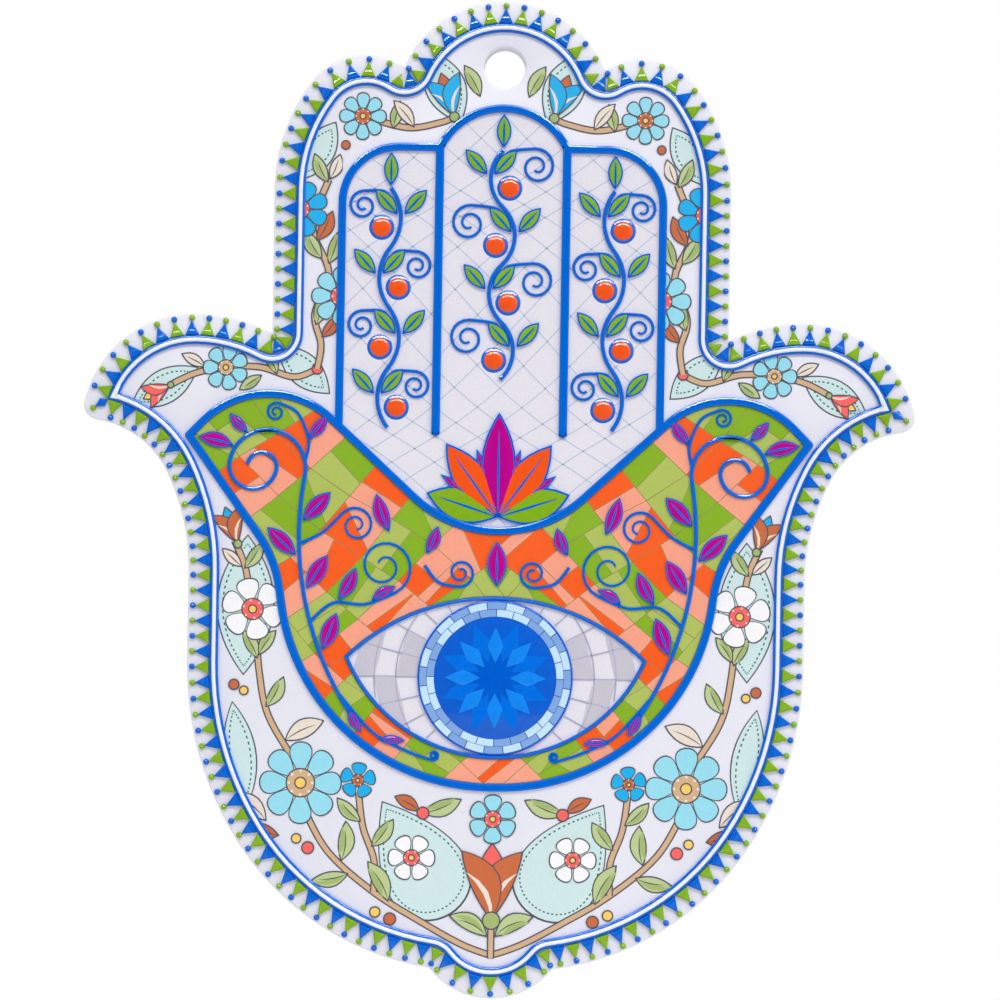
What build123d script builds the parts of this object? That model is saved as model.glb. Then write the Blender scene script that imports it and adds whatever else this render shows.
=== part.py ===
from build123d import *
from math import atan2, cos, degrees, hypot, radians, sin, tan
import os

# A flat hamsa hand to hang on a wall: a cut board with printed films and raised lacquer on its face.
# Sizes are in millimetres. Sketches are drawn on the face of the board: x runs out from the centre
# line and y runs up from the lowest point of the hand.

# Board
HAND_HEIGHT = 120.0
BOARD_THICKNESS = 4.0
HOLE_DIAMETER = 5.0
HOLE_BELOW_TOP = 8.0

# Outline of the right half, from the top of the middle finger down to the lobe
VALLEY_X = 12.1
VALLEY_BELOW_TOP = 8.0
FINGERS_HALF_WIDTH = 27.5
SHOULDER_LEAN = 4.3
SHOULDER_BREAK_BELOW_TOP = 10.0
SHOULDER_BELOW_TOP = 23.0
NOTCH_HEIGHT = 79.7
THUMB_REACH = 22.7
THUMB_CREST_FROM_TIP = 13.6
THUMB_CREST_HEIGHT = 81.9
THUMB_TIP_HEIGHT = 69.0
THUMB_TIP_RADIUS = 1.8
THUMB_BEND_X = 2.8
THUMB_BEND_HEIGHT = 62.8
PALM_HALF_WIDTH = 37.1
PALM_SIDE_TOP = 51.0
PALM_SIDE_BOTTOM = 40.0
PALM_TURN_INSET = 6.3
PALM_TURN_HEIGHT = 18.6
LOBE_HALF_WIDTH = 7.4
LOBE_DEPTH = 3.6

# Coats laid on the face, by height over it
FILM = 0.12
RELIEF = 0.4
BEAD_RELIEF = 0.5
SECOND_COAT = 0.06

# Rim and border, from the edge of the board inward
BEAD_TO_EDGE = 0.2
BEAD_DIAMETER = 0.72
BEAD_SIDES = 5
BEAD_SPACE = 0.1
POINT_TO_BEAD = 0.06
POINT_LENGTH = 1.62
POINT_BASE = 1.72
POINT_PITCH = 1.83
POINT_TO_RIM = 0.05
RIM_WIDTH = 1.08

# Inner hand
CONTOUR_WIDTH = 0.95
FIELD_WIDTH = 8.2
PANEL_SHOULDER_BELOW_TOP = 17.7
PANEL_SHOULDER_RADIUS = 6.8
ARCH_RISE = 4.8
DIVIDER_X = 7.65
DIVIDER_WIDTH = 0.85
DIVIDER_FOOT = 68.0

# Palm, as the corners of its outline before they are rounded
PALM_TIP_BEYOND_SIDE = 0.2
PALM_TIP_HEIGHT = 67.2
PALM_CREST_FROM_SIDE = 9.0
PALM_CREST_HEIGHT = 76.7
PALM_CREST_RADIUS = 11.0
PALM_DIP_HEIGHT = 50.9
PALM_DIP_RADIUS = 15.0
PALM_FOOT_HALF_WIDTH = 23.0
PALM_FOOT_BELOW_EYE = 13.2
PALM_FOOT_FLAT = 0.68
PALM_WAIST_BEYOND_FOOT = 3.6
PALM_WAIST_ABOVE_FOOT = 27.0
PALM_WAIST_FLAT = 1.14
TILE_WIDTH = 8.6
TILE_HEIGHT = 7.4
TILE_WARP = 1.1
TILE_WARP_LENGTH = 29.0
TILE_MIN_AREA = 0.6

# Eye
EYE_HEIGHT = 38.6
EYE_HALF_WIDTH = 18.2
EYE_CORNER_RISE = 2.3
LID_LINE_WIDTH = 0.45
IRIS_RADIUS = 9.35
PUPIL_RADIUS = 7.2
IRIS_EDGE = 0.2
IRIS_SEGMENTS = 28
FACETS = 8
SHADE_WIDTH = 2.6
SHADE_ANGLE = 28.0

# Raised ornament
STEM_WIDTH = 0.5
VINE_FOOT = 68.5
VINE_TO_CONTOUR = 0.25
VINE_HALF_WAVES = 4
SIDE_VINE_SWING = 1.25
MIDDLE_VINE_RISE = 6.0
MIDDLE_VINE_SWING = 1.5
LEAF_LENGTH = 4.0
LEAF_WIDTH = 1.7
LEAF_ANGLE = 42.0
LEAF_GAP = 0.25
BERRY_DIAMETER = 2.3
BERRY_SIDES = 8
SCROLL_RADIUS = 4.6
SCROLL_FROM_TIP = (9.5, 3.8)
SCROLL_ROOT_FROM_EYE = (-0.7, -6.7)
SCROLL_START_ANGLE = 190.0
SCROLL_TIGHTENING = 0.62
SCROLL_LEAF_LENGTH = 4.8
SCROLL_LEAF_WIDTH = 1.9
PALMETTE_CLEARANCE = 1.2
PALMETTE_LENGTH = 12.6
PALMETTE_WIDTH = 4.0
PALMETTE_SPREAD = 36.0

HANG_HEIGHT = HAND_HEIGHT - HOLE_BELOW_TOP
SHOULDER_BREAK_HEIGHT = HAND_HEIGHT - SHOULDER_BREAK_BELOW_TOP
SHOULDER_HEIGHT = HAND_HEIGHT - SHOULDER_BELOW_TOP
PANEL_SHOULDER_HEIGHT = HAND_HEIGHT - PANEL_SHOULDER_BELOW_TOP
EYE = (0, EYE_HEIGHT)
BEAD_CENTRE_INSET = BEAD_TO_EDGE + BEAD_DIAMETER / 2
RIM_INSET = BEAD_TO_EDGE + BEAD_DIAMETER + POINT_TO_BEAD + POINT_LENGTH + POINT_TO_RIM
THUMB_TIP = (FINGERS_HALF_WIDTH + THUMB_REACH, THUMB_TIP_HEIGHT)
PALM_TIP = (PALM_HALF_WIDTH + PALM_TIP_BEYOND_SIDE, PALM_TIP_HEIGHT)
PALM_CREST = (PALM_HALF_WIDTH - PALM_CREST_FROM_SIDE, PALM_CREST_HEIGHT)
PALM_FOOT = (PALM_FOOT_HALF_WIDTH, EYE_HEIGHT - PALM_FOOT_BELOW_EYE)
PALM_WAIST = (PALM_FOOT[0] + PALM_WAIST_BEYOND_FOOT, PALM_FOOT[1] + PALM_WAIST_ABOVE_FOOT)

# The round corners of the lower palm fill its sides but for a short flat stretch between them
foot_reach = PALM_FOOT_HALF_WIDTH - PALM_FOOT_FLAT
foot_corner = radians(90) + atan2(PALM_WAIST_BEYOND_FOOT, PALM_WAIST_ABOVE_FOOT)
PALM_FOOT_RADIUS = foot_reach * tan(foot_corner / 2)
waist_reach = hypot(PALM_WAIST_BEYOND_FOOT, PALM_WAIST_ABOVE_FOOT) - foot_reach - PALM_WAIST_FLAT
waist_turn = radians(180) - foot_corner - atan2(PALM_TIP[1] - PALM_WAIST[1], PALM_TIP[0] - PALM_WAIST[0])
PALM_WAIST_RADIUS = waist_reach / tan(waist_turn / 2)

FACE = Plane(origin=(0, -BOARD_THICKNESS, -HANG_HEIGHT), x_dir=(1, 0, 0), z_dir=(0, -1, 0))


def layer(sketch, low, high):
    """Extrude each face of a sketch between two heights over the board's face."""
    plane = FACE.offset(low)
    rise = FACE.z_dir * (high - low)
    return [Solid.extrude(plane * face, rise) for face in sketch.faces()]


def polygon(corners):
    """Draw a face with straight sides."""
    return make_face(Polyline(*corners, close=True)).face()


def grown(face, distance):
    """Offset a face outward, or inward by a negative distance, with round inner corners."""
    return offset(face, amount=distance, kind=Kind.ARC)


def both_sides(sketch):
    """Add the mirror image of a sketch across the centre line."""
    return sketch + mirror(sketch, about=Plane.YZ)


def polar(centre, radius, angle):
    """Return the point at a radius and an angle in degrees round a centre."""
    return (centre[0] + radius * cos(radians(angle)), centre[1] + radius * sin(radians(angle)))


def mirrored(point):
    return (-point[0], point[1])


def closed_half(edges):
    """Make a face of the edges of a right half and their mirror image."""
    right = Curve() + edges
    return make_face(right + mirror(right, about=Plane.YZ))


# Board: arcs that run into each other from the top of the middle finger to the lobe


def hand_face():
    valley = (VALLEY_X, HAND_HEIGHT - VALLEY_BELOW_TOP)
    shoulder = (FINGERS_HALF_WIDTH, SHOULDER_HEIGHT)
    shoulder_break = (FINGERS_HALF_WIDTH - SHOULDER_LEAN, SHOULDER_BREAK_HEIGHT)
    notch = (FINGERS_HALF_WIDTH, NOTCH_HEIGHT)
    crest = (THUMB_TIP[0] - THUMB_CREST_FROM_TIP, THUMB_CREST_HEIGHT)
    bend = (PALM_HALF_WIDTH + THUMB_BEND_X, THUMB_BEND_HEIGHT)
    side_top = (PALM_HALF_WIDTH, PALM_SIDE_TOP)
    side_bottom = (PALM_HALF_WIDTH, PALM_SIDE_BOTTOM)
    turn = (PALM_HALF_WIDTH - PALM_TURN_INSET, PALM_TURN_HEIGHT)
    lobe_corner = (LOBE_HALF_WIDTH, LOBE_DEPTH)
    shoulder_arc = TangentArc(shoulder, shoulder_break, tangent=(0, 1))
    underside = TangentArc(side_top, bend, tangent=(0, 1))
    palm_side = TangentArc(side_bottom, turn, tangent=(0, -1))
    edges = [
        TangentArc((0, HAND_HEIGHT), valley, tangent=(1, 0)),
        TangentArc(shoulder_break, valley, tangent=shoulder_arc % 1),
        shoulder_arc,
        Line(shoulder, notch),
        TangentArc(crest, notch, tangent=(-1, 0)),
        TangentArc(crest, THUMB_TIP, tangent=(1, 0)),
        TangentArc(bend, THUMB_TIP, tangent=underside % 1),
        underside,
        Line(side_top, side_bottom),
        palm_side,
        TangentArc(turn, lobe_corner, tangent=palm_side % 1),
        TangentArc((0, 0), lobe_corner, tangent=(1, 0)),
    ]
    return closed_half(edges)


outline = hand_face()
tips = [Vector(*THUMB_TIP), Vector(*mirrored(THUMB_TIP))]
tip_vertices = [v for v in outline.vertices() if min((Vector(v) - tip).length for tip in tips) < 0.01]
board_face = fillet(tip_vertices, THUMB_TIP_RADIUS)
hole = Pos(0, HANG_HEIGHT) * Circle(HOLE_DIAMETER / 2)

# The rim is one ring. What lies inside it, less the hole, is the field that every inner coat keeps to.
rim_outside = grown(outline, -RIM_INSET)
rim_inside = grown(outline, -RIM_INSET - RIM_WIDTH)
rim = rim_outside - rim_inside
field = rim_inside - hole


# Border: points on the rim with a bead at each tip, spaced evenly from thumb tip to thumb tip


def runs_between_tips(wire):
    """Split a closed wire at its two sharp corners into runs of edges."""
    edges = list(wire.order_edges())
    sharp = [i for i, edge in enumerate(edges) if (edges[i - 1] % 1).get_angle(edge % 0) > 30]
    first, second = sharp
    return [edges[first:second], edges[second:] + edges[:first]]


def place_on(run, distance):
    """Return the point and the direction of travel at a distance along a run of edges."""
    for edge in run:
        if distance <= edge.length:
            break
        distance -= edge.length
    share = min(distance / edge.length, 1)
    return edge @ share, edge % share


def outward(direction):
    """Turn a direction of travel a quarter turn to the outside of the rim."""
    return Vector(direction.Y, -direction.X) * rim_way


def border_point(run, distance):
    """Draw one triangle that stands on the rim, and return it with its bead's centre."""
    corners = []
    for side in (-1, 1):
        place, direction = place_on(run, distance + side * POINT_BASE / 2)
        corners.append(place + outward(direction) * POINT_TO_RIM)
    foot, direction = place_on(run, distance)
    out = outward(direction)
    corners.append(foot + out * (POINT_TO_RIM + POINT_LENGTH))
    return polygon(corners), foot + out * (RIM_INSET - BEAD_CENTRE_INSET)


def tip_kite(before, after):
    """Draw the kite that stands on a sharp corner of the rim, and return it with its bead's centre."""
    corner = after @ 0
    out = (outward(before % 1) + outward(after % 0)).normalized()
    across = Vector(-out.Y, out.X) * POINT_BASE * 0.4
    low = corner + out * POINT_TO_RIM
    middle = low + out * POINT_LENGTH / 2
    corners = [low, middle + across, low + out * POINT_LENGTH, middle - across]
    return polygon(corners), corner + out * (RIM_INSET - BEAD_CENTRE_INSET)


rim_face = rim_outside.face()
rim_wire = rim_face.outer_wire()
rim_way = 1
if rim_face.is_inside(rim_wire @ 0 + outward(rim_wire % 0) * POINT_TO_RIM):
    rim_way = -1
points = ([], [])
bead_centres = ([], [])
runs = runs_between_tips(rim_wire)
for index, run in enumerate(runs):
    kite, centre = tip_kite(runs[index - 1][-1], run[0])
    points[0].append(kite)
    bead_centres[1].append(centre)
    length = sum(edge.length for edge in run)
    count = 2 * round((length / POINT_PITCH - 1) / 2) + 1
    for number in range(count):
        colour = (number + 1) % 2
        last_bead = centre
        triangle, centre = border_point(run, (number + 0.5) * length / count)
        points[colour].append(triangle)
        if (centre - last_bead).length < BEAD_DIAMETER + BEAD_SPACE:
            centre = last_bead
        else:
            bead_centres[1 - colour].append(centre)
bead_base = RegularPolygon(BEAD_DIAMETER / 2, BEAD_SIDES).face()
bead = Solid.make_loft([bead_base.outer_wire(), Vertex(0, 0, BEAD_RELIEF)], ruled=True)


# Inner hand: the palm and the finger block, with one contour round both


def palm_face():
    upper = FilletPolyline(
        PALM_TIP,
        PALM_CREST,
        (0, PALM_DIP_HEIGHT),
        mirrored(PALM_CREST),
        mirrored(PALM_TIP),
        radius=[PALM_CREST_RADIUS, PALM_DIP_RADIUS, PALM_CREST_RADIUS],
    )
    lower = FilletPolyline(
        PALM_TIP,
        PALM_WAIST,
        PALM_FOOT,
        mirrored(PALM_FOOT),
        mirrored(PALM_WAIST),
        mirrored(PALM_TIP),
        radius=[PALM_WAIST_RADIUS, PALM_FOOT_RADIUS, PALM_FOOT_RADIUS, PALM_WAIST_RADIUS],
    )
    return make_face(Curve() + [upper, lower])


panel_half_width = FINGERS_HALF_WIDTH - FIELD_WIDTH
arch_top = PANEL_SHOULDER_HEIGHT + ARCH_RISE


def finger_block_face():
    right = FilletPolyline(
        (0, PALM_DIP_HEIGHT),
        (panel_half_width, PALM_DIP_HEIGHT),
        (panel_half_width, PANEL_SHOULDER_HEIGHT),
        (DIVIDER_X, PANEL_SHOULDER_HEIGHT),
        radius=[0, PANEL_SHOULDER_RADIUS],
    )
    arch = TangentArc((0, arch_top), (DIVIDER_X, PANEL_SHOULDER_HEIGHT), tangent=(1, 0))
    return closed_half([right, arch])


half_contour = CONTOUR_WIDTH / 2
palm = palm_face()
palm_inside = grown(palm, -half_contour) & field
palm_outside = grown(palm, half_contour)
finger_block = finger_block_face()
block_inside = grown(finger_block, -half_contour)
finger_line = grown(finger_block, half_contour) - block_inside - palm
contour = ((palm_outside - palm_inside) + finger_line) & field
finger_panel = (block_inside - palm_outside) & field


# Eye: an almond on the palm, and an iris of stacked coats


def almond_face():
    corner = (EYE_HALF_WIDTH, EYE_HEIGHT + EYE_CORNER_RISE)
    reach = IRIS_RADIUS + LID_LINE_WIDTH
    lids = [
        ThreePointArc(corner, (0, EYE_HEIGHT + side * reach), mirrored(corner)) for side in (-1, 1)
    ]
    return make_face(Curve() + lids)


def ring_piece(inner, outer, start, turn):
    """Draw a straight-sided piece of a ring round the eye, from a start angle through a turn."""
    corners = [(inner, start), (outer, start), (outer, start + turn), (inner, start + turn)]
    return polygon([polar(EYE, radius, angle) for radius, angle in corners])


almond = almond_face() & palm_inside
eye_white = grown(almond, -LID_LINE_WIDTH)
lid_line = almond - eye_white
iris = Pos(*EYE) * Circle(IRIS_RADIUS)
segment = 360 / IRIS_SEGMENTS
ring_pale = [
    ring_piece(PUPIL_RADIUS, IRIS_RADIUS - IRIS_EDGE, 90 + number * segment, segment)
    for number in range(0, IRIS_SEGMENTS, 2)
]
facets = []
for number in range(FACETS):
    angle = 90 + number * 360 / FACETS
    half_turn = 120 / FACETS
    kite = [(0.25, 0), (0.55, half_turn), (0.85, 0), (0.55, -half_turn)]
    corners = [polar(EYE, share * PUPIL_RADIUS, angle + turn) for share, turn in kite]
    facets.append(polygon(corners))
shade = Sketch()
for side in (0, 180):
    for number in range(3):
        low = IRIS_RADIUS + number * SHADE_WIDTH
        start = side if (number % 2 == 0) == (side == 0) else side - SHADE_ANGLE
        shade += ring_piece(low, low + SHADE_WIDTH, start, SHADE_ANGLE)
shade = (shade & eye_white) - iris


# Palm tiles: a warped lattice of diamonds, in four colours


def lattice_point(i, j):
    """Return a corner of the lattice, pushed aside by a slow wave so that no two tiles are alike."""
    x = (i + j) * TILE_WIDTH / 2
    y = EYE_HEIGHT + (i - j) * TILE_HEIGHT / 2
    wave_x = TILE_WARP * sin(radians(360 * y / TILE_WARP_LENGTH))
    wave_y = TILE_WARP * sin(radians(360 * x / TILE_WARP_LENGTH))
    return (x + wave_x, y + wave_y)


palm_box = palm.bounding_box()
right_half = Pos(palm_box.max.X / 2, palm_box.center().Y) * Rectangle(palm_box.max.X, palm_box.size.Y)
palm_field = palm_inside - almond
right_field = palm_field & right_half
tiles = [[], [], [], []]
tile_reach = int(2 * palm_box.max.X / TILE_WIDTH + palm_box.size.Y / TILE_HEIGHT) + 2
for i in range(-tile_reach, tile_reach):
    for j in range(-tile_reach, tile_reach):
        corners = [lattice_point(i + a, j + b) for a, b in ((0, 0), (1, 0), (1, 1), (0, 1))]
        in_x = any(-1 < x < palm_box.max.X for x, _ in corners)
        in_y = any(palm_box.min.Y < y < palm_box.max.Y for _, y in corners)
        if not (in_x and in_y):
            continue
        for piece in (right_field & polygon(corners)).faces():
            if piece.area > TILE_MIN_AREA:
                tiles[(i + 2 * j) % 4] += [piece, mirror(piece, about=Plane.YZ)]


# Raised ornament: vines up the fingers, scrolls on the palm and a palmette where they meet


def leaf(foot, angle, length, width):
    """Draw a pointed leaf with straight sides."""
    shape = [(0, 0), (0.35, 0.5), (0.7, 0.36), (1, 0), (0.7, -0.36), (0.35, -0.5)]
    corners = []
    for along, across in shape:
        corners.append(polar(polar(foot, along * length, angle), across * width, angle + 90))
    return polygon(corners)


def wave(centre_x, foot, half_wave, swing):
    """Return arcs that swing from side to side up a centre line."""
    arcs = []
    for number in range(VINE_HALF_WAVES):
        low = foot + number * half_wave
        side = swing if number % 2 == 0 else -swing
        middle = (centre_x + side, low + half_wave / 2)
        arcs.append(ThreePointArc((centre_x, low), middle, (centre_x, low + half_wave)))
    return arcs


def ribbon(edges):
    """Draw a stem of even width along edges."""
    return trace(Curve() + edges, line_width=STEM_WIDTH)


def leaf_by(stem_point, angle, length, width):
    """Draw a leaf that springs from a point of a stem, a little way off its side."""
    gap = LEAF_GAP + STEM_WIDTH / 2 / sin(radians(LEAF_ANGLE))
    return leaf(polar(stem_point, gap, angle), angle, length, width)


def vine(centre_x, foot, panel_top, swing):
    """Return the stem, the leaves and the berries of one vine that ends in a leaf under the contour."""
    leaf_foot = panel_top - half_contour - VINE_TO_CONTOUR - LEAF_LENGTH
    half_wave = (leaf_foot - LEAF_GAP - foot) / VINE_HALF_WAVES
    stem = ribbon(wave(centre_x, foot, half_wave, swing))
    leaf_faces = [leaf((centre_x, leaf_foot), 90, LEAF_LENGTH, LEAF_WIDTH)]
    berry_faces = []
    for number in range(VINE_HALF_WAVES):
        side = 1 if number % 2 == 0 else -1
        height = foot + (number + 0.5) * half_wave
        crest = (centre_x + side * swing, height)
        for turn in (-LEAF_ANGLE, LEAF_ANGLE):
            leaf_faces.append(leaf_by(crest, 90 + turn, LEAF_LENGTH, LEAF_WIDTH))
        inner_x = centre_x + side * (swing - BERRY_DIAMETER)
        berry = RegularPolygon(BERRY_DIAMETER / 2, BERRY_SIDES)
        berry_faces.append((Pos(inner_x, height - BERRY_DIAMETER / 2) * berry).face())
    return stem, leaf_faces, berry_faces


side_x = (DIVIDER_X + panel_half_width) / 2
side_stem, side_leaves, side_berries = vine(side_x, VINE_FOOT, PANEL_SHOULDER_HEIGHT, SIDE_VINE_SWING)
middle_foot = VINE_FOOT + MIDDLE_VINE_RISE
middle_stem, middle_leaves, middle_berries = vine(0, middle_foot, arch_top, MIDDLE_VINE_SWING)
dividers = Sketch()
for side in (-1, 1):
    middle = (DIVIDER_FOOT + PANEL_SHOULDER_HEIGHT) / 2
    length = PANEL_SHOULDER_HEIGHT - DIVIDER_FOOT
    dividers += Pos(side * DIVIDER_X, middle) * Rectangle(DIVIDER_WIDTH, length)
    dividers += Pos(side * DIVIDER_X, DIVIDER_FOOT) * Circle(DIVIDER_WIDTH / 2)
finger_stems = (both_sides(side_stem) + middle_stem + dividers) & finger_panel
finger_leaves = both_sides(Sketch() + side_leaves) + middle_leaves
berries = both_sides(Sketch() + side_berries) + middle_berries
berries = (berries & finger_panel) - finger_stems
finger_leaves = (finger_leaves & finger_panel) - finger_stems - berries


def volute(centre, radius, start):
    """Return half circles that wind inward, clockwise, from a start angle."""
    arcs = []
    for _ in range(3):
        arcs.append(CenterArc(centre, radius, start, -180))
        start += 180
        smaller = radius * SCROLL_TIGHTENING
        centre = polar(centre, radius - smaller, start)
        radius = smaller
    return arcs


scroll_root = (
    EYE_HALF_WIDTH + SCROLL_ROOT_FROM_EYE[0],
    EYE_HEIGHT + EYE_CORNER_RISE + SCROLL_ROOT_FROM_EYE[1],
)
scroll_centre = (PALM_TIP[0] - SCROLL_FROM_TIP[0], PALM_TIP[1] - SCROLL_FROM_TIP[1])
winding = volute(scroll_centre, SCROLL_RADIUS, SCROLL_START_ANGLE)
scroll_stem = TangentArc(winding[0] @ 0, scroll_root, tangent=(winding[0] % 0) * -1)
scrolls = both_sides(ribbon([scroll_stem] + winding)) & palm_field
scroll_leaves = Sketch()
for share, side in ((0.2, 1), (0.34, -1), (0.48, 1), (0.74, 1)):
    up = (scroll_stem % share) * -1
    angle = degrees(atan2(up.Y, up.X)) + side * LEAF_ANGLE
    foot = scroll_stem @ share
    scroll_leaves += leaf_by((foot.X, foot.Y), angle, SCROLL_LEAF_LENGTH, SCROLL_LEAF_WIDTH)
scroll_leaves = (both_sides(scroll_leaves) & palm_field) - scrolls

dip_slope = (PALM_CREST[1] - PALM_DIP_HEIGHT) / PALM_CREST[0]
dip = PALM_DIP_HEIGHT + PALM_DIP_RADIUS * (hypot(1, dip_slope) - 1)
palmette_foot = (0, dip + half_contour + PALMETTE_CLEARANCE)
petals = []
taken = finger_stems
for number in range(3):
    petal = leaf(
        palmette_foot,
        90 - PALMETTE_SPREAD * number,
        PALMETTE_LENGTH * (1 - 0.14 * number),
        PALMETTE_WIDTH,
    )
    petal = both_sides(Sketch() + petal) if number else Sketch() + petal
    petals.append((petal & finger_panel) - taken)
    taken += petal
finger_leaves -= taken
berries -= taken

# Every coat is seated on the face or on the coat under it

nodes = {
    "board": layer(board_face - hole, -BOARD_THICKNESS, 0),
    "rim_line": layer(rim, 0, RELIEF),
    "border_points_blue": layer(Compound(points[0]), 0, RELIEF),
    "border_points_green": layer(Compound(points[1]), 0, RELIEF),
    "border_beads_blue": [FACE * Pos(c.X, c.Y) * bead for c in bead_centres[0]],
    "border_beads_green": [FACE * Pos(c.X, c.Y) * bead for c in bead_centres[1]],
    "hand_contour": layer(contour, 0, RELIEF) + layer(lid_line, 0, RELIEF),
    "scrollwork": layer(finger_stems, 0, RELIEF) + layer(scrolls, FILM, RELIEF),
    "finger_leaves": layer(finger_leaves, 0, RELIEF),
    "finger_berries": layer(berries, 0, RELIEF),
    "palm_tiles_orange": layer(Compound(tiles[0]), 0, FILM),
    "palm_tiles_green": layer(Compound(tiles[1]), 0, FILM),
    "palm_tiles_peach": layer(Compound(tiles[2]), 0, FILM),
    "palm_tiles_lime": layer(Compound(tiles[3]), 0, FILM),
    "palm_leaves": layer(scroll_leaves, FILM, RELIEF),
    "eye_shade": layer(shade, 0, FILM),
    "iris": layer(iris, 0, RELIEF),
    "iris_ring_pale": layer(Compound(ring_pale), RELIEF, RELIEF + SECOND_COAT),
    "iris_facets": layer(Compound(facets), RELIEF, RELIEF + SECOND_COAT),
    "palmette_magenta": layer(petals[0], 0, RELIEF),
    "palmette_orange": layer(petals[1], 0, RELIEF),
    "palmette_green": layer(petals[2], 0, RELIEF),
}

os.makedirs("parts", exist_ok=True)
for name, solids in nodes.items():
    export_step(Compound(solids), f"parts/{name}.step")
print(len(nodes), "nodes,", sum(len(kind) for kind in points), "border points")
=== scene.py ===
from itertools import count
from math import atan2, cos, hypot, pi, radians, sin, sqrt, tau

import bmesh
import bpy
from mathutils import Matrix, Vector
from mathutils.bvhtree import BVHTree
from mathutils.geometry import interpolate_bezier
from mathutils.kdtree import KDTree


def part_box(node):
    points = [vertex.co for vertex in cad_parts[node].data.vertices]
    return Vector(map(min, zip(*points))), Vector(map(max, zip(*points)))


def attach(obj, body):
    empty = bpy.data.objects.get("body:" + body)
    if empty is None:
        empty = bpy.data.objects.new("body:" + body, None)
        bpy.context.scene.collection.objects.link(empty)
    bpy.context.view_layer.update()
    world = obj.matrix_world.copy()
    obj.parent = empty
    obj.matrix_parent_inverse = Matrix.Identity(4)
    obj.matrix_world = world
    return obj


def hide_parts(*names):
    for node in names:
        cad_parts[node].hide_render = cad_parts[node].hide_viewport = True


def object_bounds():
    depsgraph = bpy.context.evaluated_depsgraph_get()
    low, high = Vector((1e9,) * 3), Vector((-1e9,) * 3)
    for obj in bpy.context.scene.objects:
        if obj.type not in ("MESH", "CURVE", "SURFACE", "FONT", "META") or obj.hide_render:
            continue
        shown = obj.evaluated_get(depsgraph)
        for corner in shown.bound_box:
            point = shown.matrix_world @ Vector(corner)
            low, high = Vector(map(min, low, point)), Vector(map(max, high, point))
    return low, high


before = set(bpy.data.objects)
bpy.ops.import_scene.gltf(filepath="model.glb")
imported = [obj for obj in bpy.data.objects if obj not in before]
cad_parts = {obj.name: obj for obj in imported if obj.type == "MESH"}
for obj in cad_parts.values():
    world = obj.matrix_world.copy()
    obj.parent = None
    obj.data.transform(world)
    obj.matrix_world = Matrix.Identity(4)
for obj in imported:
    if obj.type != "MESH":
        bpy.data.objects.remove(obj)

# %% [markdown]
# # A hamsa hand to hang on a wall
# The ornament is a flat white board, cut to the outline of a hand and drilled near the top. Its face
# carries two kinds of work: flat print, and raised gloss lacquer that stands half a millimetre proud.
# The frame gives every solid at its place. Here each one gets its soft edges, its print and its gloss.
#
# Everything on the face is drawn on a plane, as the printer drew it: x to the right, y up from the
# lowest point of the hand, z off the board, all in millimetres. One matrix then lays the drawing on the
# board. Working in the frame's metres would do as well, but a drawing in millimetres is easier to read.

MM = 0.001
cad_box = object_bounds()
board_low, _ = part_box("board")
face_corner = Matrix.Translation((0, board_low.y, board_low.z))
to_board = face_corner @ Matrix.Rotation(radians(90), 4, "X") @ Matrix.Scale(MM, 4)
to_drawing = to_board.inverted()
print("board face at y =", round(board_low.y, 4), "m, lowest point at z =", round(board_low.z, 4), "m")

# %% [markdown]
# ## Finishes
# Three finishes cover the ornament: the satin white of the board, flat ink with a fine printed grain, and
# lacquer with a clear gloss coat. The colours could be single values, but printed ink is never quite
# even, so a fine noise on Object coordinates takes each colour a little up and down. Shader sums are
# written as Python expressions with one small class, which keeps each finish down to a few lines.

# %% A shader socket that Python calculates with


class Socket:
    """One output of a shader node, which takes part in Python expressions."""

    def __init__(self, tree, output=None):
        self.tree = tree
        self.output = output

    def node(self, kind, settings=None, inputs=None, output=0):
        """Add a node: first its settings, then the values or links of its inputs."""
        made = self.tree.nodes.new(kind)
        for name, value in (settings or {}).items():
            setattr(made, name, value)
        for key, value in (inputs or {}).items():
            if isinstance(value, Socket):
                self.tree.links.new(value.output, made.inputs[key])
            else:
                made.inputs[key].default_value = value
        return Socket(self.tree, made.outputs[output]) if made.outputs else None

    def math(self, operation, *values):
        """Calculate with numbers or sockets."""
        return self.node("ShaderNodeMath", {"operation": operation}, dict(enumerate(values)))

    def mix(self, low, high):
        """Blend two colours by this value."""
        return self.node("ShaderNodeMix", {"data_type": "RGBA"}, {0: self, 6: low, 7: high}, 2)

    def __add__(self, other):
        return self.math("ADD", self, other)

    def __rsub__(self, other):
        return self.math("SUBTRACT", other, self)

    def __rmul__(self, other):
        return self.math("MULTIPLY", other, self)


# %% Colours and the three finishes


def linear(colour):
    """Turn a colour of 0 to 255, as a paint program shows it, into a shader's linear colour."""
    shares = [part / 255 for part in colour]
    return [s / 12.92 if s < 0.04 else ((s + 0.055) / 1.055) ** 2.4 for s in shares] + [1.0]


def shifted(colour, share):
    """Make a linear colour lighter or darker by a share."""
    return [min(part * (1 + share), 1.0) for part in colour[:3]] + [1.0]


# Sizes in a finish are in metres, as Object coordinates are.
GRAIN = 0.00022
GRAIN_DEPTH = 0.00002
RIPPLE_DEPTH = 0.00004
CLOUD = 0.02


def toned(value, colour, share):
    """Take a colour of 0 to 255 down and up by a share, as a random value says."""
    tone = linear(colour)
    return value.mix(shifted(tone, -share), shifted(tone, share))


def start_finish(name):
    """Begin a material, and return it with a socket to build on and its Object coordinates."""
    material = bpy.data.materials.new(name)
    material.use_nodes = True
    material.node_tree.nodes.clear()
    tree = Socket(material.node_tree)
    return material, tree, tree.node("ShaderNodeTexCoord", output="Object")


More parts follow.
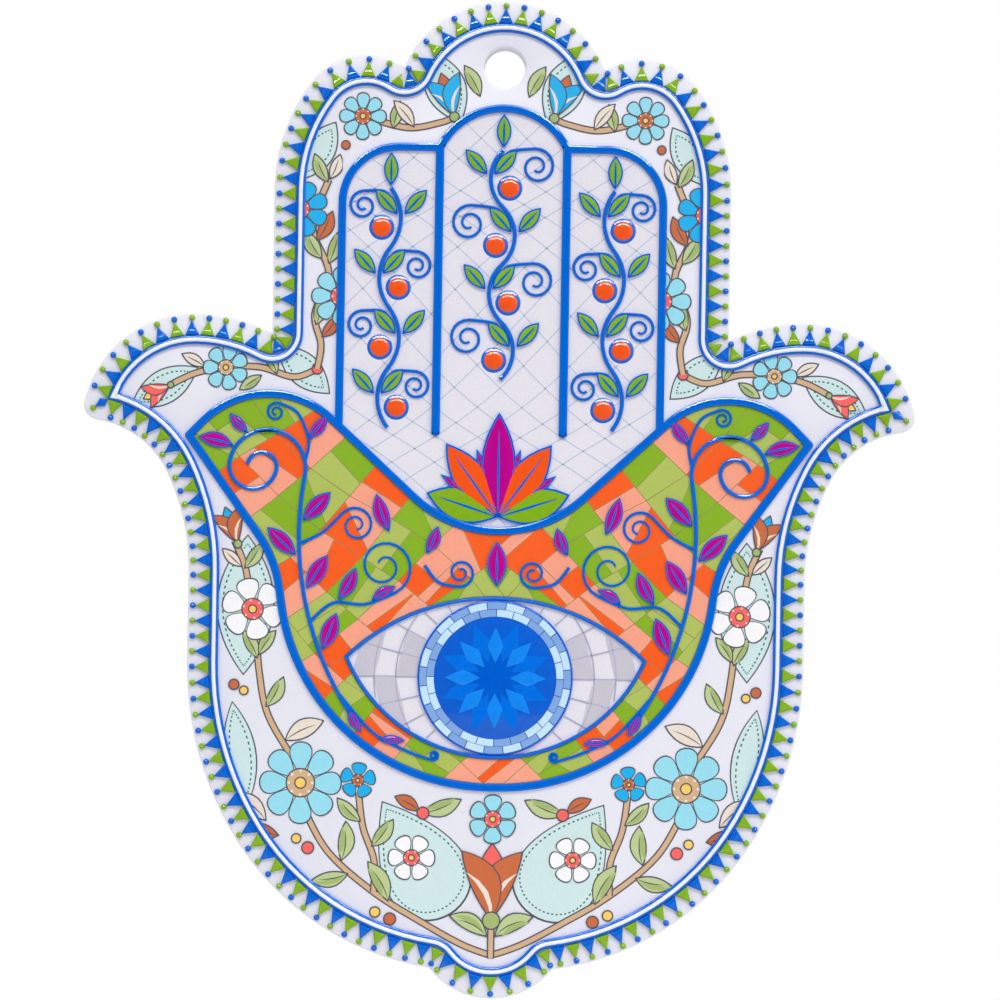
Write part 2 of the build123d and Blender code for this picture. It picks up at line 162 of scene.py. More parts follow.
def end_finish(material, tree, inputs):
    """Close a material with one Principled surface, and return it."""
    surface = tree.node("ShaderNodeBsdfPrincipled", {}, inputs)
    tree.node("ShaderNodeOutputMaterial", {}, {0: surface})
    return material


def speckle(tree, place, size):
    """A soft random value from 0 to 1, in spots of about one size in metres."""
    return tree.node("ShaderNodeTexNoise", {}, {"Vector": place, "Scale": 1 / size, "Detail": 2.0}, "Fac")


def ink(name, colour, grain=0.07, roughness=0.42):
    """Flat printed ink: even colour with a fine grain and a satin surface."""
    material, tree, place = start_finish(name)
    base = toned(speckle(tree, place, GRAIN), colour, grain)
    inputs = {"Base Color": base, "Roughness": roughness, "Specular IOR Level": 0.15}
    return end_finish(material, tree, inputs)


def lacquer(name, colour, mottle=0.1, wave=0.16):
    """Raised lacquer: deep colour under a clear gloss coat that is not quite flat."""
    material, tree, place = start_finish(name)
    base = toned(speckle(tree, place, GRAIN * 4), colour, mottle)
    ripple = speckle(tree, place, GRAIN * 2)
    bump = tree.node("ShaderNodeBump", {}, {"Strength": wave, "Distance": RIPPLE_DEPTH, "Height": ripple})
    inputs = {"Base Color": base, "Roughness": 0.35, "Specular IOR Level": 0.0, "Normal": bump}
    inputs.update({"Coat Weight": 0.55, "Coat Roughness": 0.08, "Coat IOR": 1.5})
    return end_finish(material, tree, inputs)


lacquer_blue = lacquer("lacquer blue", (0, 104, 214))
print("finishes ready, grain of", GRAIN / MM, "mm")

# %% [markdown]
# ## From the frame to the drawing
# A node of the frame is a mesh of loose triangles. To work on one, its copy is laid on the drawing plane
# and its triangles are joined. A finished drawing goes the other way: back onto the board, onto the body
# that carries it, with a finish, while the solids it stands for are hidden.

# %% Fetch a solid, and set down a piece
SAME_POINT = 0.004
HAIR = 0.01
UPWARD = 0.9


def drawing_of(node):
    """Copy a solid of the frame onto the drawing plane, with its triangles joined."""
    bm = bmesh.new()
    bm.from_mesh(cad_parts[node].data)
    bm.transform(to_drawing)
    bmesh.ops.remove_doubles(bm, verts=bm.verts, dist=SAME_POINT)
    bmesh.ops.dissolve_degenerate(bm, dist=SAME_POINT, edges=bm.edges)
    bm.normal_update()
    return bm


def set_down(name, bm, material, slot, *nodes, sharp=50):
    """Lay a drawing on the board as one finished piece."""
    bm.transform(to_board)
    mesh = bpy.data.meshes.new(name)
    bm.to_mesh(mesh)
    bm.free()
    mesh.materials.clear()
    mesh.materials.append(material)
    mesh.shade_smooth()
    mesh.set_sharp_from_angle(angle=radians(sharp))
    piece = bpy.data.objects.new(name, mesh)
    bpy.context.scene.collection.objects.link(piece)
    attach(piece, "root")
    if nodes:
        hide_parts(*nodes)
    print(name, len(mesh.polygons), "faces")


def height_of(verts):
    """The greatest height among some vertices."""
    return max(v.co.z for v in verts)


def top_of(bm):
    """The faces of a drawing that look off the board at its greatest height."""
    lowest = height_of(bm.verts) - HAIR
    return [f for f in bm.faces if f.normal.z > UPWARD and f.calc_center_median().z > lowest]


# %% [markdown]
# ## Board
# The board has cut edges that are eased by a touch of sanding. Its top and bottom could be bevelled with
# a modifier, but the face is made of many thin triangles that stop a bevel short. Insetting the whole
# face and sinking its rim does the same and doesn't mind the triangles.

# %% Round over a top


def inset(bm, faces, width, rise):
    """Draw the edge of some faces inward by a width and up by a rise. Returns the ring this leaves."""
    bm.normal_update()
    made = bmesh.ops.inset_region(bm, faces=faces, thickness=width, depth=rise, use_boundary=True)
    return made["faces"]


def crown(bm, faces, steps, lower=0.0):
    """Round over a top in inset steps of (width, rise), up to its height or lower. Returns the rings."""
    corners = {v for f in faces for v in f.verts}
    drop = sum(rise for _, rise in steps) + lower
    bmesh.ops.translate(bm, verts=list(corners), vec=(0, 0, -drop))
    return [inset(bm, faces, width, rise) for width, rise in steps]


# %% Board with eased edges
EASED_EDGE = ((0.08, 0.1), (0.14, 0.05))


def board_finish():
    """White with a breath of lavender, satin, with a faint printed grain."""
    material, tree, place = start_finish("board white")
    grain = speckle(tree, place, GRAIN)
    cloud = speckle(tree, place, CLOUD)
    base = toned(0.7 * grain + 0.3 * cloud, (231, 231, 242), 0.05)
    bump = tree.node("ShaderNodeBump", {}, {"Strength": 0.12, "Distance": GRAIN_DEPTH, "Height": grain})
    inputs = {"Base Color": base, "Roughness": 0.45, "Specular IOR Level": 0.15, "Normal": bump}
    return end_finish(material, tree, inputs)


board = drawing_of("board")
for turn in (pi, -pi):
    crown(board, top_of(board), EASED_EDGE)
    bmesh.ops.rotate(board, verts=board.verts, matrix=Matrix.Rotation(turn, 3, "Y"))
    board.normal_update()
set_down("hand_board", board, board_finish(), "board_white", "board")

# %% [markdown]
# ## Raised lines
# The contour of the hand, the vines and the bars between the fingers are thick lacquer that has run a
# little before it set, so their shoulders are round. Each solid gets a crown: its top drops, then rises
# again over narrow insets. The last inset is a gentle slope, left unsmoothed, so that a lamp gleams along
# it. Vines and bars are first cut every two millimetres, so that a gleam at one end can't spread along
# them. Wet lacquer runs together, so each bar is a little wider than its solid and reaches into the
# contour. The rim is a line with a white bead down its middle, and an inset finds that middle without any
# measuring, because it works in from both edges at once.

# %% Contour with round shoulders
LINE_CROWN = ((0.03, 0.1), (0.05, 0.05), (0.13, 0.05))
LINE_SHARP = 15
contour = drawing_of("hand_contour")
crown(contour, top_of(contour), LINE_CROWN)
set_down("hand_contour_line", contour, lacquer_blue, "lacquer_blue", "hand_contour", sharp=LINE_SHARP)

# %% Find the solids of a drawing, and widen a bar
BAR_SPREAD = 1.2
BAR_END = 0.4
INTO_CONTOUR = 0.6
UNDER_CONTOUR = 0.008


def groups_of(bm):
    """Group the vertices of a drawing by the solid that they belong to."""
    seen = set()
    groups = []
    for first in bm.verts:
        if first in seen:
            continue
        seen.add(first)
        group = [first]
        for vert in group:
            for edge in vert.link_edges:
                other = edge.other_vert(vert)
                if other not in seen:
                    seen.add(other)
                    group.append(other)
        groups.append(group)
    return groups


def span_of(group):
    """The left and right ends of a group of vertices."""
    sides = [v.co.x for v in group]
    return min(sides), max(sides)


def widen_bar(group):
    """Widen a bar between two fingers, and run its upper end into the contour, a hair lower than that."""
    middle = sum(span_of(group)) / 2
    upper_end = max(v.co.y for v in group)
    top = height_of(group)
    for vert in group:
        vert.co.x += (vert.co.x - middle) * (BAR_SPREAD - 1)
        if vert.co.y > upper_end - BAR_END:
            vert.co.y += INTO_CONTOUR
        if vert.co.z > top / 2:
            vert.co.z -= UNDER_CONTOUR


# %% Vines and bars, cut across and crowned
STEM_CROWN = ((0.03, 0.1), (0.04, 0.04), (0.12, 0.046))
BAR_WIDEST = 1.0
NEARLY_FLAT = 0.01
CUT_HEIGHTS = range(30, 106, 2)


def cut(bm, place, way, **settings):
    """Cut a whole drawing along the plane through a place that faces a way."""
    everything = bm.verts[:] + bm.edges[:] + bm.faces[:]
    bmesh.ops.bisect_plane(bm, geom=everything, plane_co=place, plane_no=way, **settings)


stems = drawing_of("scrollwork")
for group in groups_of(stems):
    left, right = span_of(group)
    if right - left < BAR_WIDEST:
        widen_bar(group)
bmesh.ops.dissolve_limit(stems, angle_limit=NEARLY_FLAT, verts=stems.verts, edges=stems.edges)
for height in CUT_HEIGHTS:
    cut(stems, (0, height, 0), (0, 1, 0))
stems.normal_update()
crown(stems, top_of(stems), STEM_CROWN)
set_down("scrollwork_line", stems, lacquer_blue, "lacquer_blue", "scrollwork", sharp=LINE_SHARP)

# %% Take some faces of a drawing as a drawing of their own


def only(bm, faces):
    """Copy a drawing and keep only these faces of it."""
    wanted = {f.index for f in faces}
    copy = bm.copy()
    copy.faces.ensure_lookup_table()
    rest = [f for f in copy.faces if f.index not in wanted]
    bmesh.ops.delete(copy, geom=rest, context="FACES")
    return copy


# %% Rim: two blue lines with a white bead between them
RIM_LINE = 0.31
RIM_BEAD = ((0.03, 0.07), (0.06, 0.04), (0.08, 0.02))
rim = drawing_of("rim_line")
rim_top = top_of(rim)
_, *bead_rings = crown(rim, rim_top, ((RIM_LINE, 0.0), *RIM_BEAD))
rim.faces.index_update()
bead_faces = {*rim_top, *(f for ring in bead_rings for f in ring)}
line_faces = [f for f in rim.faces if f not in bead_faces]
bead_white = lacquer("bead white", (238, 240, 248), mottle=0.02)
set_down("rim_white_bead", only(rim, bead_faces), bead_white, "board_white")
set_down("rim_blue_lines", only(rim, line_faces), lacquer_blue, "lacquer_blue", "rim_line")
rim.free()

# %% [markdown]
# ## Beads, berries and teeth
# At the tip of every tooth sits a drop of lacquer, and berries hang in the vines. In the frame these are
# small solids with few sides. A drop that has set is part of a sphere, so each becomes a flattened ball,
# half sunk in the board, at the same place and a touch wider. With hundreds of them, each has only a few
# dozen faces. The teeth get a crown like the lines. Wet lacquer joins what it touches, so the tip of each
# tooth is drawn out to its drop: the tip is the only corner of a tooth that is near one. It also gathers
# at the wide end, so the top of a tooth rises there over a short slope. A tooth with four sides, as at the
# thumbs, has its side corners drawn back, so that it ends in a point like the rest.

# %% Put a drop on every solid of a node
DROP_SPREAD = 1.14
DROP_RINGS = 6
BERRY_LINE = 0.24
BERRY_LINE_HEIGHT = 0.72


def solids_of(bm):
    """The corners of every solid of a drawing."""
    return [[v.co.copy() for v in group] for group in groups_of(bm)]


def spots_of(node):
    """The middle, the radius and the height of every solid of a node."""
    source = drawing_of(node)
    spots = []
    for corners in solids_of(source):
        low = [min(c[i] for c in corners) for i in range(3)]
        high = [max(c[i] for c in corners) for i in range(3)]
        middle = Vector((low[0] + high[0], low[1] + high[1])) / 2
        spots.append((middle, (high[0] - low[0] + high[1] - low[1]) / 4, high[2]))
    source.free()
    return spots


def drops_for(node, sides=10, wider=0.0, share=1.0):
    """Set a flattened ball on every solid of a node, wider than the solid, at a share of its height."""
    drops = bmesh.new()
    for middle, radius, height in spots_of(node):
        reach = radius * DROP_SPREAD + wider
        place = Matrix.Translation((*middle, 0)) @ Matrix.Diagonal((reach, reach, height * share, 1))
        bmesh.ops.create_uvsphere(drops, u_segments=sides, v_segments=DROP_RINGS, radius=1, matrix=place)
    return drops


lacquer_green = lacquer("lacquer green", (132, 178, 32))
set_down("beads_blue", drops_for("border_beads_blue"), lacquer_blue, "lacquer_blue", "border_beads_blue")
set_down("beads_green", drops_for("border_beads_green"), lacquer_green, "lacquer_green", "border_beads_green")
lacquer_orange = lacquer("lacquer orange", (250, 88, 28))
berries = drops_for("finger_berries", sides=20)
set_down("berries", berries, lacquer_orange, "lacquer_orange", "finger_berries")
berry_rings = drops_for("finger_berries", sides=24, wider=BERRY_LINE, share=BERRY_LINE_HEIGHT)
set_down("berry_rings", berry_rings, lacquer_blue, "lacquer_blue")

# %% Find the drop of a tooth
bead_spots = spots_of("border_beads_blue") + spots_of("border_beads_green")
bead_tree = KDTree(len(bead_spots))
for number, (middle, _, _) in enumerate(bead_spots):
    bead_tree.insert((*middle, 0), number)
bead_tree.balance()


def nearest_bead(vert):
    """The middle of the bead nearest to a corner, and how far away it is."""
    bead, _, distance = bead_tree.find((*vert.co.xy, 0))
    return bead, distance


def bead_of(group):
    """The bead at the tip of a tooth, and how far its nearest corner is."""
    return min((nearest_bead(v) for v in group), key=lambda found: found[1])


print("beads at the tips:", len(bead_spots))

# %% Shape a tooth
TIP_REACH = 0.9
TIP_TO_BEAD = 0.28
SIDE_SHARE = 0.85
POOL_FROM_BEAD = 1.55
POOL_SLOPE = 0.2
POOL_RISE = 0.074
LEVEL = 0.99


def verts_of(parts):
    """The vertices among some parts of a drawing."""
    return [part for part in parts if isinstance(part, bmesh.types.BMVert)]


def point_out(group):
    """Draw the side corners of a four-sided tooth back to its root, so that it ends in a point."""
    bead, _ = bead_of(group)
    root = max(group, key=lambda v: (v.co - bead).to_2d().length).co.to_2d()
    for vert in group:
        if nearest_bead(vert)[1] > TIP_REACH:
            vert.co.xy = root + (vert.co.to_2d() - root) * SIDE_SHARE


def draw_tip(vert):
    """Draw the tip of a tooth out to its bead. Other corners stay."""
    bead, distance = nearest_bead(vert)
    if distance < TIP_REACH:
        vert.co.xy = bead.to_2d() + (vert.co - bead).to_2d() * TIP_TO_BEAD / distance


def pool(bm, group):
    """Raise the wide end of a tooth, where wet lacquer gathers, over a slope across the tooth."""
    bead, distance = bead_of(group)
    if distance > TIP_REACH:
        return
    top = height_of(group)
    corners = [v for v in group if v.co.z > top - HAIR]
    middle = sum((v.co for v in corners), Vector()) / len(corners)
    axis = (bead - middle).to_2d().normalized().to_3d()
    faces = {f for v in corners for f in v.link_faces if f.normal.z > LEVEL}
    parts = [*faces, *{e for f in faces for e in f.edges}, *corners]
    for away in (POOL_FROM_BEAD, POOL_FROM_BEAD - POOL_SLOPE):
        parts = bmesh.ops.bisect_plane(bm, geom=parts, plane_co=bead - axis * away, plane_no=axis)["geom"]
    for vert in verts_of(parts):
        if (bead - vert.co).dot(axis) > POOL_FROM_BEAD - HAIR:
            vert.co.z += POOL_RISE


# %% Teeth that reach their drops
TOOTH_CROWN = ((0.05, 0.1), (0.06, 0.045), (0.2, 0.075))
FOUR_SIDED_CORNERS = 8
TEETH = {
    "border_points_blue": (lacquer_blue, "lacquer_blue"),
    "border_points_green": (lacquer_green, "lacquer_green"),
}
for node, (finish, slot) in TEETH.items():
    teeth = drawing_of(node)
    for group in groups_of(teeth):
        if len(group) == FOUR_SIDED_CORNERS:
            point_out(group)
    for vert in teeth.verts:
        draw_tip(vert)
    teeth.normal_update()
    crown(teeth, top_of(teeth), TOOTH_CROWN)
    teeth.normal_update()
    for group in groups_of(teeth):
        pool(teeth, group)
    set_down(node + "_teeth", teeth, finish, slot, node, sharp=LINE_SHARP)

# %% [markdown]
# ## Leaves
# A leaf in the frame has six straight sides. The printed one is drawn with two curves that meet in points
# and is held by a blue outline. So the foot, the tip and the width are read from the solid, and a disc is
# drawn out to that shape. Insetting such a shape would cross over itself at the points, so the outline is
# one leaf and the fill is a smaller one on top of it, swollen like a drop.

# %% Draw a disc out to a form


def toward(angle, length):
    """A step of some length at an angle."""
    return Vector((cos(angle), sin(angle))) * length


def lens(x, y):
    """The half width of a leaf with two pointed ends, from a point of the unit circle."""
    return y * sqrt(max(1 - x * x, 0))


def stretch(bm, form, foot, angle, length, width, bend=0.0, line=0.0, tips=1.0):
    """Draw flat discs of a unit circle out to a form, smaller all round by a line and by more at the tips."""
    half = length / 2
    for vert in bm.verts:
        share = hypot(vert.co.x, vert.co.y) or 1.0
        x, y = vert.co.x / share, vert.co.y / share
        along = share * x * (half - line * tips)
        side = share * form(x, y) * (width / 2 - line)
        vert.co.x = along + half
        vert.co.y = side + bend * (1 - (along / half) ** 2)
    bm.transform(Matrix.Translation((foot[0], foot[1], 0)) @ Matrix.Rotation(angle, 4, "Z"))


def append(sheet, bm):
    """Add one drawing to another."""
    mesh = bpy.data.meshes.new("sheet")
    bm.to_mesh(mesh)
    bm.free()
    sheet.from_mesh(mesh)
    bpy.data.meshes.remove(mesh)


def thicken(bm, height):
    """Give a flat drawing walls, up to a height over it, with all faces looking out."""
    made = bmesh.ops.extrude_face_region(bm, geom=bm.faces[:])
    bmesh.ops.translate(bm, verts=verts_of(made["geom"]), vec=(0, 0, height))
    bmesh.ops.recalc_face_normals(bm, faces=bm.faces)


def mark(faces, index):
    """Give faces the index of the ink or lacquer that they belong to."""
    for face in faces:
        face.material_index = index


def slab(height, index, sides=24):
    """A unit disc with walls, from the board up to a height."""
    bm = bmesh.new()
    bmesh.ops.create_circle(bm, cap_ends=True, segments=sides, radius=1)
    thicken(bm, height)
    mark(bm.faces, index)
    return bm


CUSHION_RINGS = ((0.16, 0.45), (0.24, 0.35), (0.3, 0.2))


def cushion(low, swell, index, sides=24):
    """A unit disc with walls whose top swells in rings, as a drop does."""
    bm = slab(low, index, sides)
    bm.normal_update()
    top = top_of(bm)
    for width, share in CUSHION_RINGS:
        mark(inset(bm, top, width, swell * share), index)
    return bm


# %% Leaves with a blue outline and rib
LEAF_LINE = 0.2
EDGE_HEIGHT = 0.75
FILL_HEIGHT = 0.8
FILL_SWELL = 0.2
RIB_WIDTH = 0.3
RIB_HEIGHT = 1.03
RIB_LENGTH = 0.85
RIB_BEND = 0.8


def slant(length, width):
    """How much longer a line of even width is along a leaf's tip than across the leaf."""
    return hypot(length, 2 * width) / (2 * width)


def raised_leaf(sheet, foot, angle, length, width, height, line=LEAF_LINE, bend=0.0):
    """Add a leaf: its outline and rib, index 0, and a swollen fill, index 1."""
    edge = slab(height * EDGE_HEIGHT, 0)
    stretch(edge, lens, foot, angle, length, width, bend)
    append(sheet, edge)
    fill = cushion(height * FILL_HEIGHT, height * FILL_SWELL, 1)
    stretch(fill, lens, foot, angle, length, width, bend, line, slant(length, width))
    append(sheet, fill)
    rib = slab(height * RIB_HEIGHT, 0, 10)
    stretch(rib, lens, foot, angle, length * RIB_LENGTH, RIB_WIDTH, bend * RIB_BEND)
    append(sheet, rib)


def leaf_axis(corners):
    """Read the foot, the angle, the length and the width of a leaf from its solid's corners."""
    flat = [Vector((c.x, c.y)) for c in corners]
    first, second = max(((a, b) for a in flat for b in flat), key=lambda pair: (pair[0] - pair[1]).length)
    along = (second - first).normalized()
    across = [(p - first).cross(along) for p in flat]
    widest = max(range(len(flat)), key=lambda i: abs(across[i]))
    if (flat[widest] - first).dot(along) > (second - first).length / 2:
        first, second = second, first
    way = second - first
    return first, atan2(way.y, way.x), way.length, max(across) - min(across)


def split(sheet, names):
    """Split a drawing by material index into one drawing for each name."""
    sheet.faces.index_update()
    parts = {}
    for index, name in enumerate(names):
        parts[name] = only(sheet, [f for f in sheet.faces if f.material_index == index])
    return parts


def set_down_leaves(sheet, name, outline_name, finish, slot, *nodes):
    """Lay a sheet of leaves on the board: their fill as one piece, their outlines and ribs as another."""
    parts = split(sheet, ("line", "fill"))
    set_down(name, parts["fill"], finish, slot, *nodes)
    set_down(outline_name, parts["line"], lacquer_blue, "lacquer_blue")
    sheet.free()


# %% Leaves of the vines and of the palm
lacquer_magenta = lacquer("lacquer magenta", (188, 6, 142))
LEAVES = {
    "finger_leaves": ("leaves_green", lacquer_green, "lacquer_green", 1.06),
    "palm_leaves": ("leaves_magenta", lacquer_magenta, "lacquer_magenta", 1.1),
}
for node, (name, finish, slot, wider) in LEAVES.items():
    source = drawing_of(node)
    height = height_of(source.verts)
    sheet = bmesh.new()
    for corners in solids_of(source):
        foot, angle, length, width = leaf_axis(corners)
        raised_leaf(sheet, foot, angle, length, width * wider, height)
    set_down_leaves(sheet, name, name + "_outline", finish, slot, node)
    source.free()

# %% [markdown]
# ## Palmette
# Where the vines and the palm meet stands a fan of petals. The solids give five of them, and a printed
# fan has narrow sepals between them. All are leaves of the same kind, so the same two-layer leaf draws
# them, from the back of the fan to the front, each rank a little higher than the last.

# %% Petals of the palmette
PETAL_RANKS = (
    ("palmette_green", lacquer_green, "lacquer_green", 0.92),
    ("palmette_orange", lacquer_orange, "lacquer_orange", 0.96),
    ("palmette_magenta", lacquer_magenta, "lacquer_magenta", 1.0),
)
PETAL_WIDTH = 4.2
PETAL_LINE = 0.26
UPRIGHT = 0.1
fan = drawing_of("palmette_magenta")
fan_foot = min((v.co for v in fan.verts), key=lambda c: c.y).to_2d()
fan_height = height_of(fan.verts)
fan.free()

for node, finish, slot, share in PETAL_RANKS:
    source = drawing_of(node)
    sheet = bmesh.new()
    height = fan_height * share
    for side in (-1, 1):
        flat = [v.co.to_2d() for v in source.verts if v.co.x * side > -HAIR]
        tip = max(flat, key=lambda corner: (corner - fan_foot).length)
        way = tip - fan_foot
        angle = atan2(way.y, way.x)
        raised_leaf(sheet, fan_foot, angle, way.length, PETAL_WIDTH, height, PETAL_LINE)
        if abs(way.x) < UPRIGHT:
            break
    set_down_leaves(sheet, node + "_petals", node + "_outline", finish, slot, node)
    source.free()

# %% Sepals between the petals
SEPAL_LENGTH = 8.6
SEPAL_WIDTH = 1.7
SEPAL_HEIGHT = fan_height * 0.8
SEPAL_ANGLES = (18, 54)
sepals = bmesh.new()
for degrees in SEPAL_ANGLES:
    for side in (-1, 1):
        angle = radians(90 + side * degrees)
        raised_leaf(sepals, fan_foot, angle, SEPAL_LENGTH, SEPAL_WIDTH, SEPAL_HEIGHT)
set_down_leaves(sepals, "palmette_sepals", "palmette_sepals_outline", lacquer_magenta, "lacquer_magenta")

# %% [markdown]
# ## Palm mosaic
# The palm is laid like a mosaic, in orange, peach and two greens, with a hair of dark grout between the
# patches. The solids are diamonds of one colour each. All but the small ones are cut across, and a large
# half once more, at an angle that depends on the place. A narrow inset of every patch gives the grout, and
# a value stored on each patch picks one of two colours. A texture could paint the patches too, but its
# lines would blur in close-up.

# %% Two colours in one ink
TILE_GRAIN = 0.08


def tile_finish(name, main, other):
    """Printed ink that takes one of two colours, as the patch's tint says."""
    material, tree, place = start_finish(name)
    tint = tree.node("ShaderNodeAttribute", {"attribute_name": "tint"}, {}, "Fac")
    grain = speckle(tree, place, GRAIN)
    base = tint.mix(toned(grain, main, TILE_GRAIN), toned(grain, other, TILE_GRAIN))
    return end_finish(material, tree, {"Base Color": base, "Roughness": 0.38, "Specular IOR Level": 0.2})


# %% Cut the tiles into patches
EYE = Vector((0.0, 38.6))
NEAR_EYE = 19.0
LARGE_PATCH = 18.0
LARGE_PATCH_NEAR_EYE = 9.0
SMALL_TILE = 6.0
TILE_SIDE = radians(40.7)
TURN_SPREAD = 0.3
GROUT = 0.06


def cut_across(bm, face, tint):
    """Cut one patch in two through its middle, at an angle of its own, and turn the tint of one side."""
    middle = face.calc_center_median()
    side = 1 if middle.x > 0 else -1
    number = round(side * middle.x * 3 + middle.y * 5)
    turn = (TILE_SIDE if number % 2 else -TILE_SIDE) + TURN_SPREAD * sin(number)
    across = Vector((side * cos(turn), sin(turn), 0))
    geom = [face, *face.verts, *face.edges]
    before = face[tint]
    made = bmesh.ops.bisect_plane(bm, geom=geom, dist=0.001, plane_co=middle, plane_no=across)
    halves = [g for g in made["geom"] if isinstance(g, bmesh.types.BMFace)]
    for half in halves:
        if (half.calc_center_median() - middle).dot(across) > 0:
            half[tint] = 1 - before
    return halves


def patches_of(node):
    """Cut a node's tiles into patches. Returns them with the ring of grout of each patch as index 1."""
    bm = drawing_of(node)
    top = set(top_of(bm))
    film = height_of(bm.verts)
    bmesh.ops.delete(bm, geom=[f for f in bm.faces if f not in top], context="FACES")
    bmesh.ops.dissolve_limit(bm, angle_limit=2 * NEARLY_FLAT, verts=bm.verts, edges=bm.edges)
    tint = bm.faces.layers.float.new("tint")
    for tile in bm.faces[:]:
        near = (tile.calc_center_median().to_2d() - EYE).length < NEAR_EYE
        largest = LARGE_PATCH_NEAR_EYE if near else LARGE_PATCH
        halves = cut_across(bm, tile, tint) if tile.calc_area() > SMALL_TILE else []
        for half in halves:
            if half.calc_area() > largest:
                cut_across(bm, half, tint)
    mark(bm.faces, 0)
    bm.normal_update()
    grout = bmesh.ops.inset_individual(bm, faces=bm.faces[:], thickness=GROUT)
    mark(grout["faces"], 1)
    rim_edges = [e for e in bm.edges if len(e.link_faces) == 1]
    walls = bmesh.ops.extrude_edge_only(bm, edges=rim_edges)
    bmesh.ops.translate(bm, verts=verts_of(walls["geom"]), vec=(0, 0, -film))
    return bm


# %% Lay the mosaic
TILE_INKS = {
    "palm_tiles_orange": ((255, 94, 26), (252, 163, 136), "print_orange"),
    "palm_tiles_green": ((136, 178, 34), (178, 194, 96), "print_green"),
    "palm_tiles_peach": ((252, 165, 138), (255, 96, 30), "print_peach"),
    "palm_tiles_lime": ((176, 192, 94), (138, 180, 38), "print_lime"),
}
grout_sheet = bmesh.new()
for node, (main, other, slot) in TILE_INKS.items():
    parts = split(patches_of(node), ("patches", "grout"))
    append(grout_sheet, parts["grout"])
    set_down(node + "_patches", parts["patches"], tile_finish(slot, main, other), slot, node)
set_down("palm_grout", grout_sheet, ink("grout", (140, 132, 84)), "print_grey")

# %% [markdown]
# ## Eye
# The iris is a disc of deep blue lacquer with a ring of pale and mid-blue pieces near its edge and a star
# of lighter facets inside that. The ring's pieces are short arcs, which a spin makes from one edge. The
# facets are already solids, so they only get a crown, and a turned copy fills the gaps between them. The
# white round the iris has grey patches, which keep their solids, and thin lines along them: arcs round the
# iris and spokes away from it, walked in short steps and kept where they lie between the lids.

# %% Disc of the iris
IRIS_CROWN = ((0.05, 0.1), (0.1, 0.06))
iris = drawing_of("iris")
iris_top = height_of(iris.verts)
iris_radius = max(v.co.x for v in iris.verts)
crown(iris, top_of(iris), IRIS_CROWN)
set_down("iris_disc", iris, lacquer("lacquer iris", (0, 94, 210), mottle=0.14), "lacquer_iris", "iris")

# %% Ring of pale and mid-blue pieces
RING_START = 7.38
RING_MIDDLE = 8.25
RING_JOINT = 0.06
RING_EDGE = 0.25
RING_ROWS = (
    (RING_START, RING_MIDDLE - RING_JOINT / 2),
    (RING_MIDDLE + RING_JOINT / 2, iris_radius - RING_EDGE),
)
RING_PIECES = 24
RING_SHARE = 0.95
RING_FILM = 0.1


def ring_piece(inner, outer, start, turn):
    """Spin an edge into a short arc, half sunk in the top of the iris, and give it walls."""
    bm = bmesh.new()
    low = iris_top - RING_FILM / 2
    ends = [bm.verts.new((*(EYE + toward(start, radius)), low)) for radius in (inner, outer)]
    edge = bm.edges.new(ends)
    bmesh.ops.spin(bm, geom=ends + [edge], cent=(*EYE, 0), axis=(0, 0, 1), angle=turn, steps=4)
    thicken(bm, RING_FILM)
    return bm


ring = bmesh.new()
step = tau / RING_PIECES
for row, (inner, outer) in enumerate(RING_ROWS):
    for number in range(RING_PIECES):
        arc = ring_piece(inner, outer, (number + row / 2) * step, step * RING_SHARE)
        mark(arc.faces, number % 2 if row else (number // 2) % 2)
        append(ring, arc)
parts = split(ring, ("pale", "mid"))
ring.free()
pale_blue = ink("pale blue", (196, 228, 250))
set_down("iris_ring_pale_pieces", parts["pale"], pale_blue, "print_pale_blue", "iris_ring_pale")
set_down("iris_ring_mid_pieces", parts["mid"], ink("mid blue", (128, 168, 224)), "print_pale_blue")

# %% Star of facets, and a deeper star turned by half a step
FACET_EDGE = 0.12
STAR_WIDER = 1.13
STAR_TURN = pi / 8
facets = drawing_of("iris_facets")
deep_facets = facets.copy()
crown(facets, top_of(facets), ((FACET_EDGE, 0.03),))
facet_blue = lacquer("facet blue", (20, 136, 243))
set_down("iris_facets_light", facets, facet_blue, "print_bright_blue", "iris_facets")
to_eye = Matrix.Translation((*EYE, 0))
widen = Matrix.Diagonal((STAR_WIDER, STAR_WIDER, 1, 1))
deep_facets.transform(to_eye @ Matrix.Rotation(STAR_TURN, 4, "Z") @ widen @ to_eye.inverted())
crown(deep_facets, top_of(deep_facets), ((FACET_EDGE, 0.02),), lower=0.01)
set_down("iris_facets_deep", deep_facets, lacquer("facet deep blue", (2, 112, 228)), "lacquer_iris")

# %% Lines along points, kept where they lie inside


def flat_line(line, width, height):
    """Draw a line of even width along points, flat on top, with walls down to the board."""
    bm = bmesh.new()
    edges = []
    for number, point in enumerate(line):
        before, after = line[max(number - 1, 0)], line[min(number + 1, len(line) - 1)]
        heading = (Vector(after) - Vector(before)).normalized() * width / 2
        left = bm.verts.new((point[0] - heading.y, point[1] + heading.x, 0))
        right = bm.verts.new((point[0] + heading.y, point[1] - heading.x, 0))
        edges.append((left, right))
    for first, second in zip(edges, edges[1:]):
        bm.faces.new((first[0], first[1], second[1], second[0]))
    thicken(bm, height)
    return bm


def runs_inside(points, inside):
    """Split a row of points into the runs that lie inside."""
    runs = [[]]
    for point in points:
        if inside(point):
            runs[-1].append(point)
        elif runs[-1]:
            runs.append([])
    return [run for run in runs if len(run) > 1]


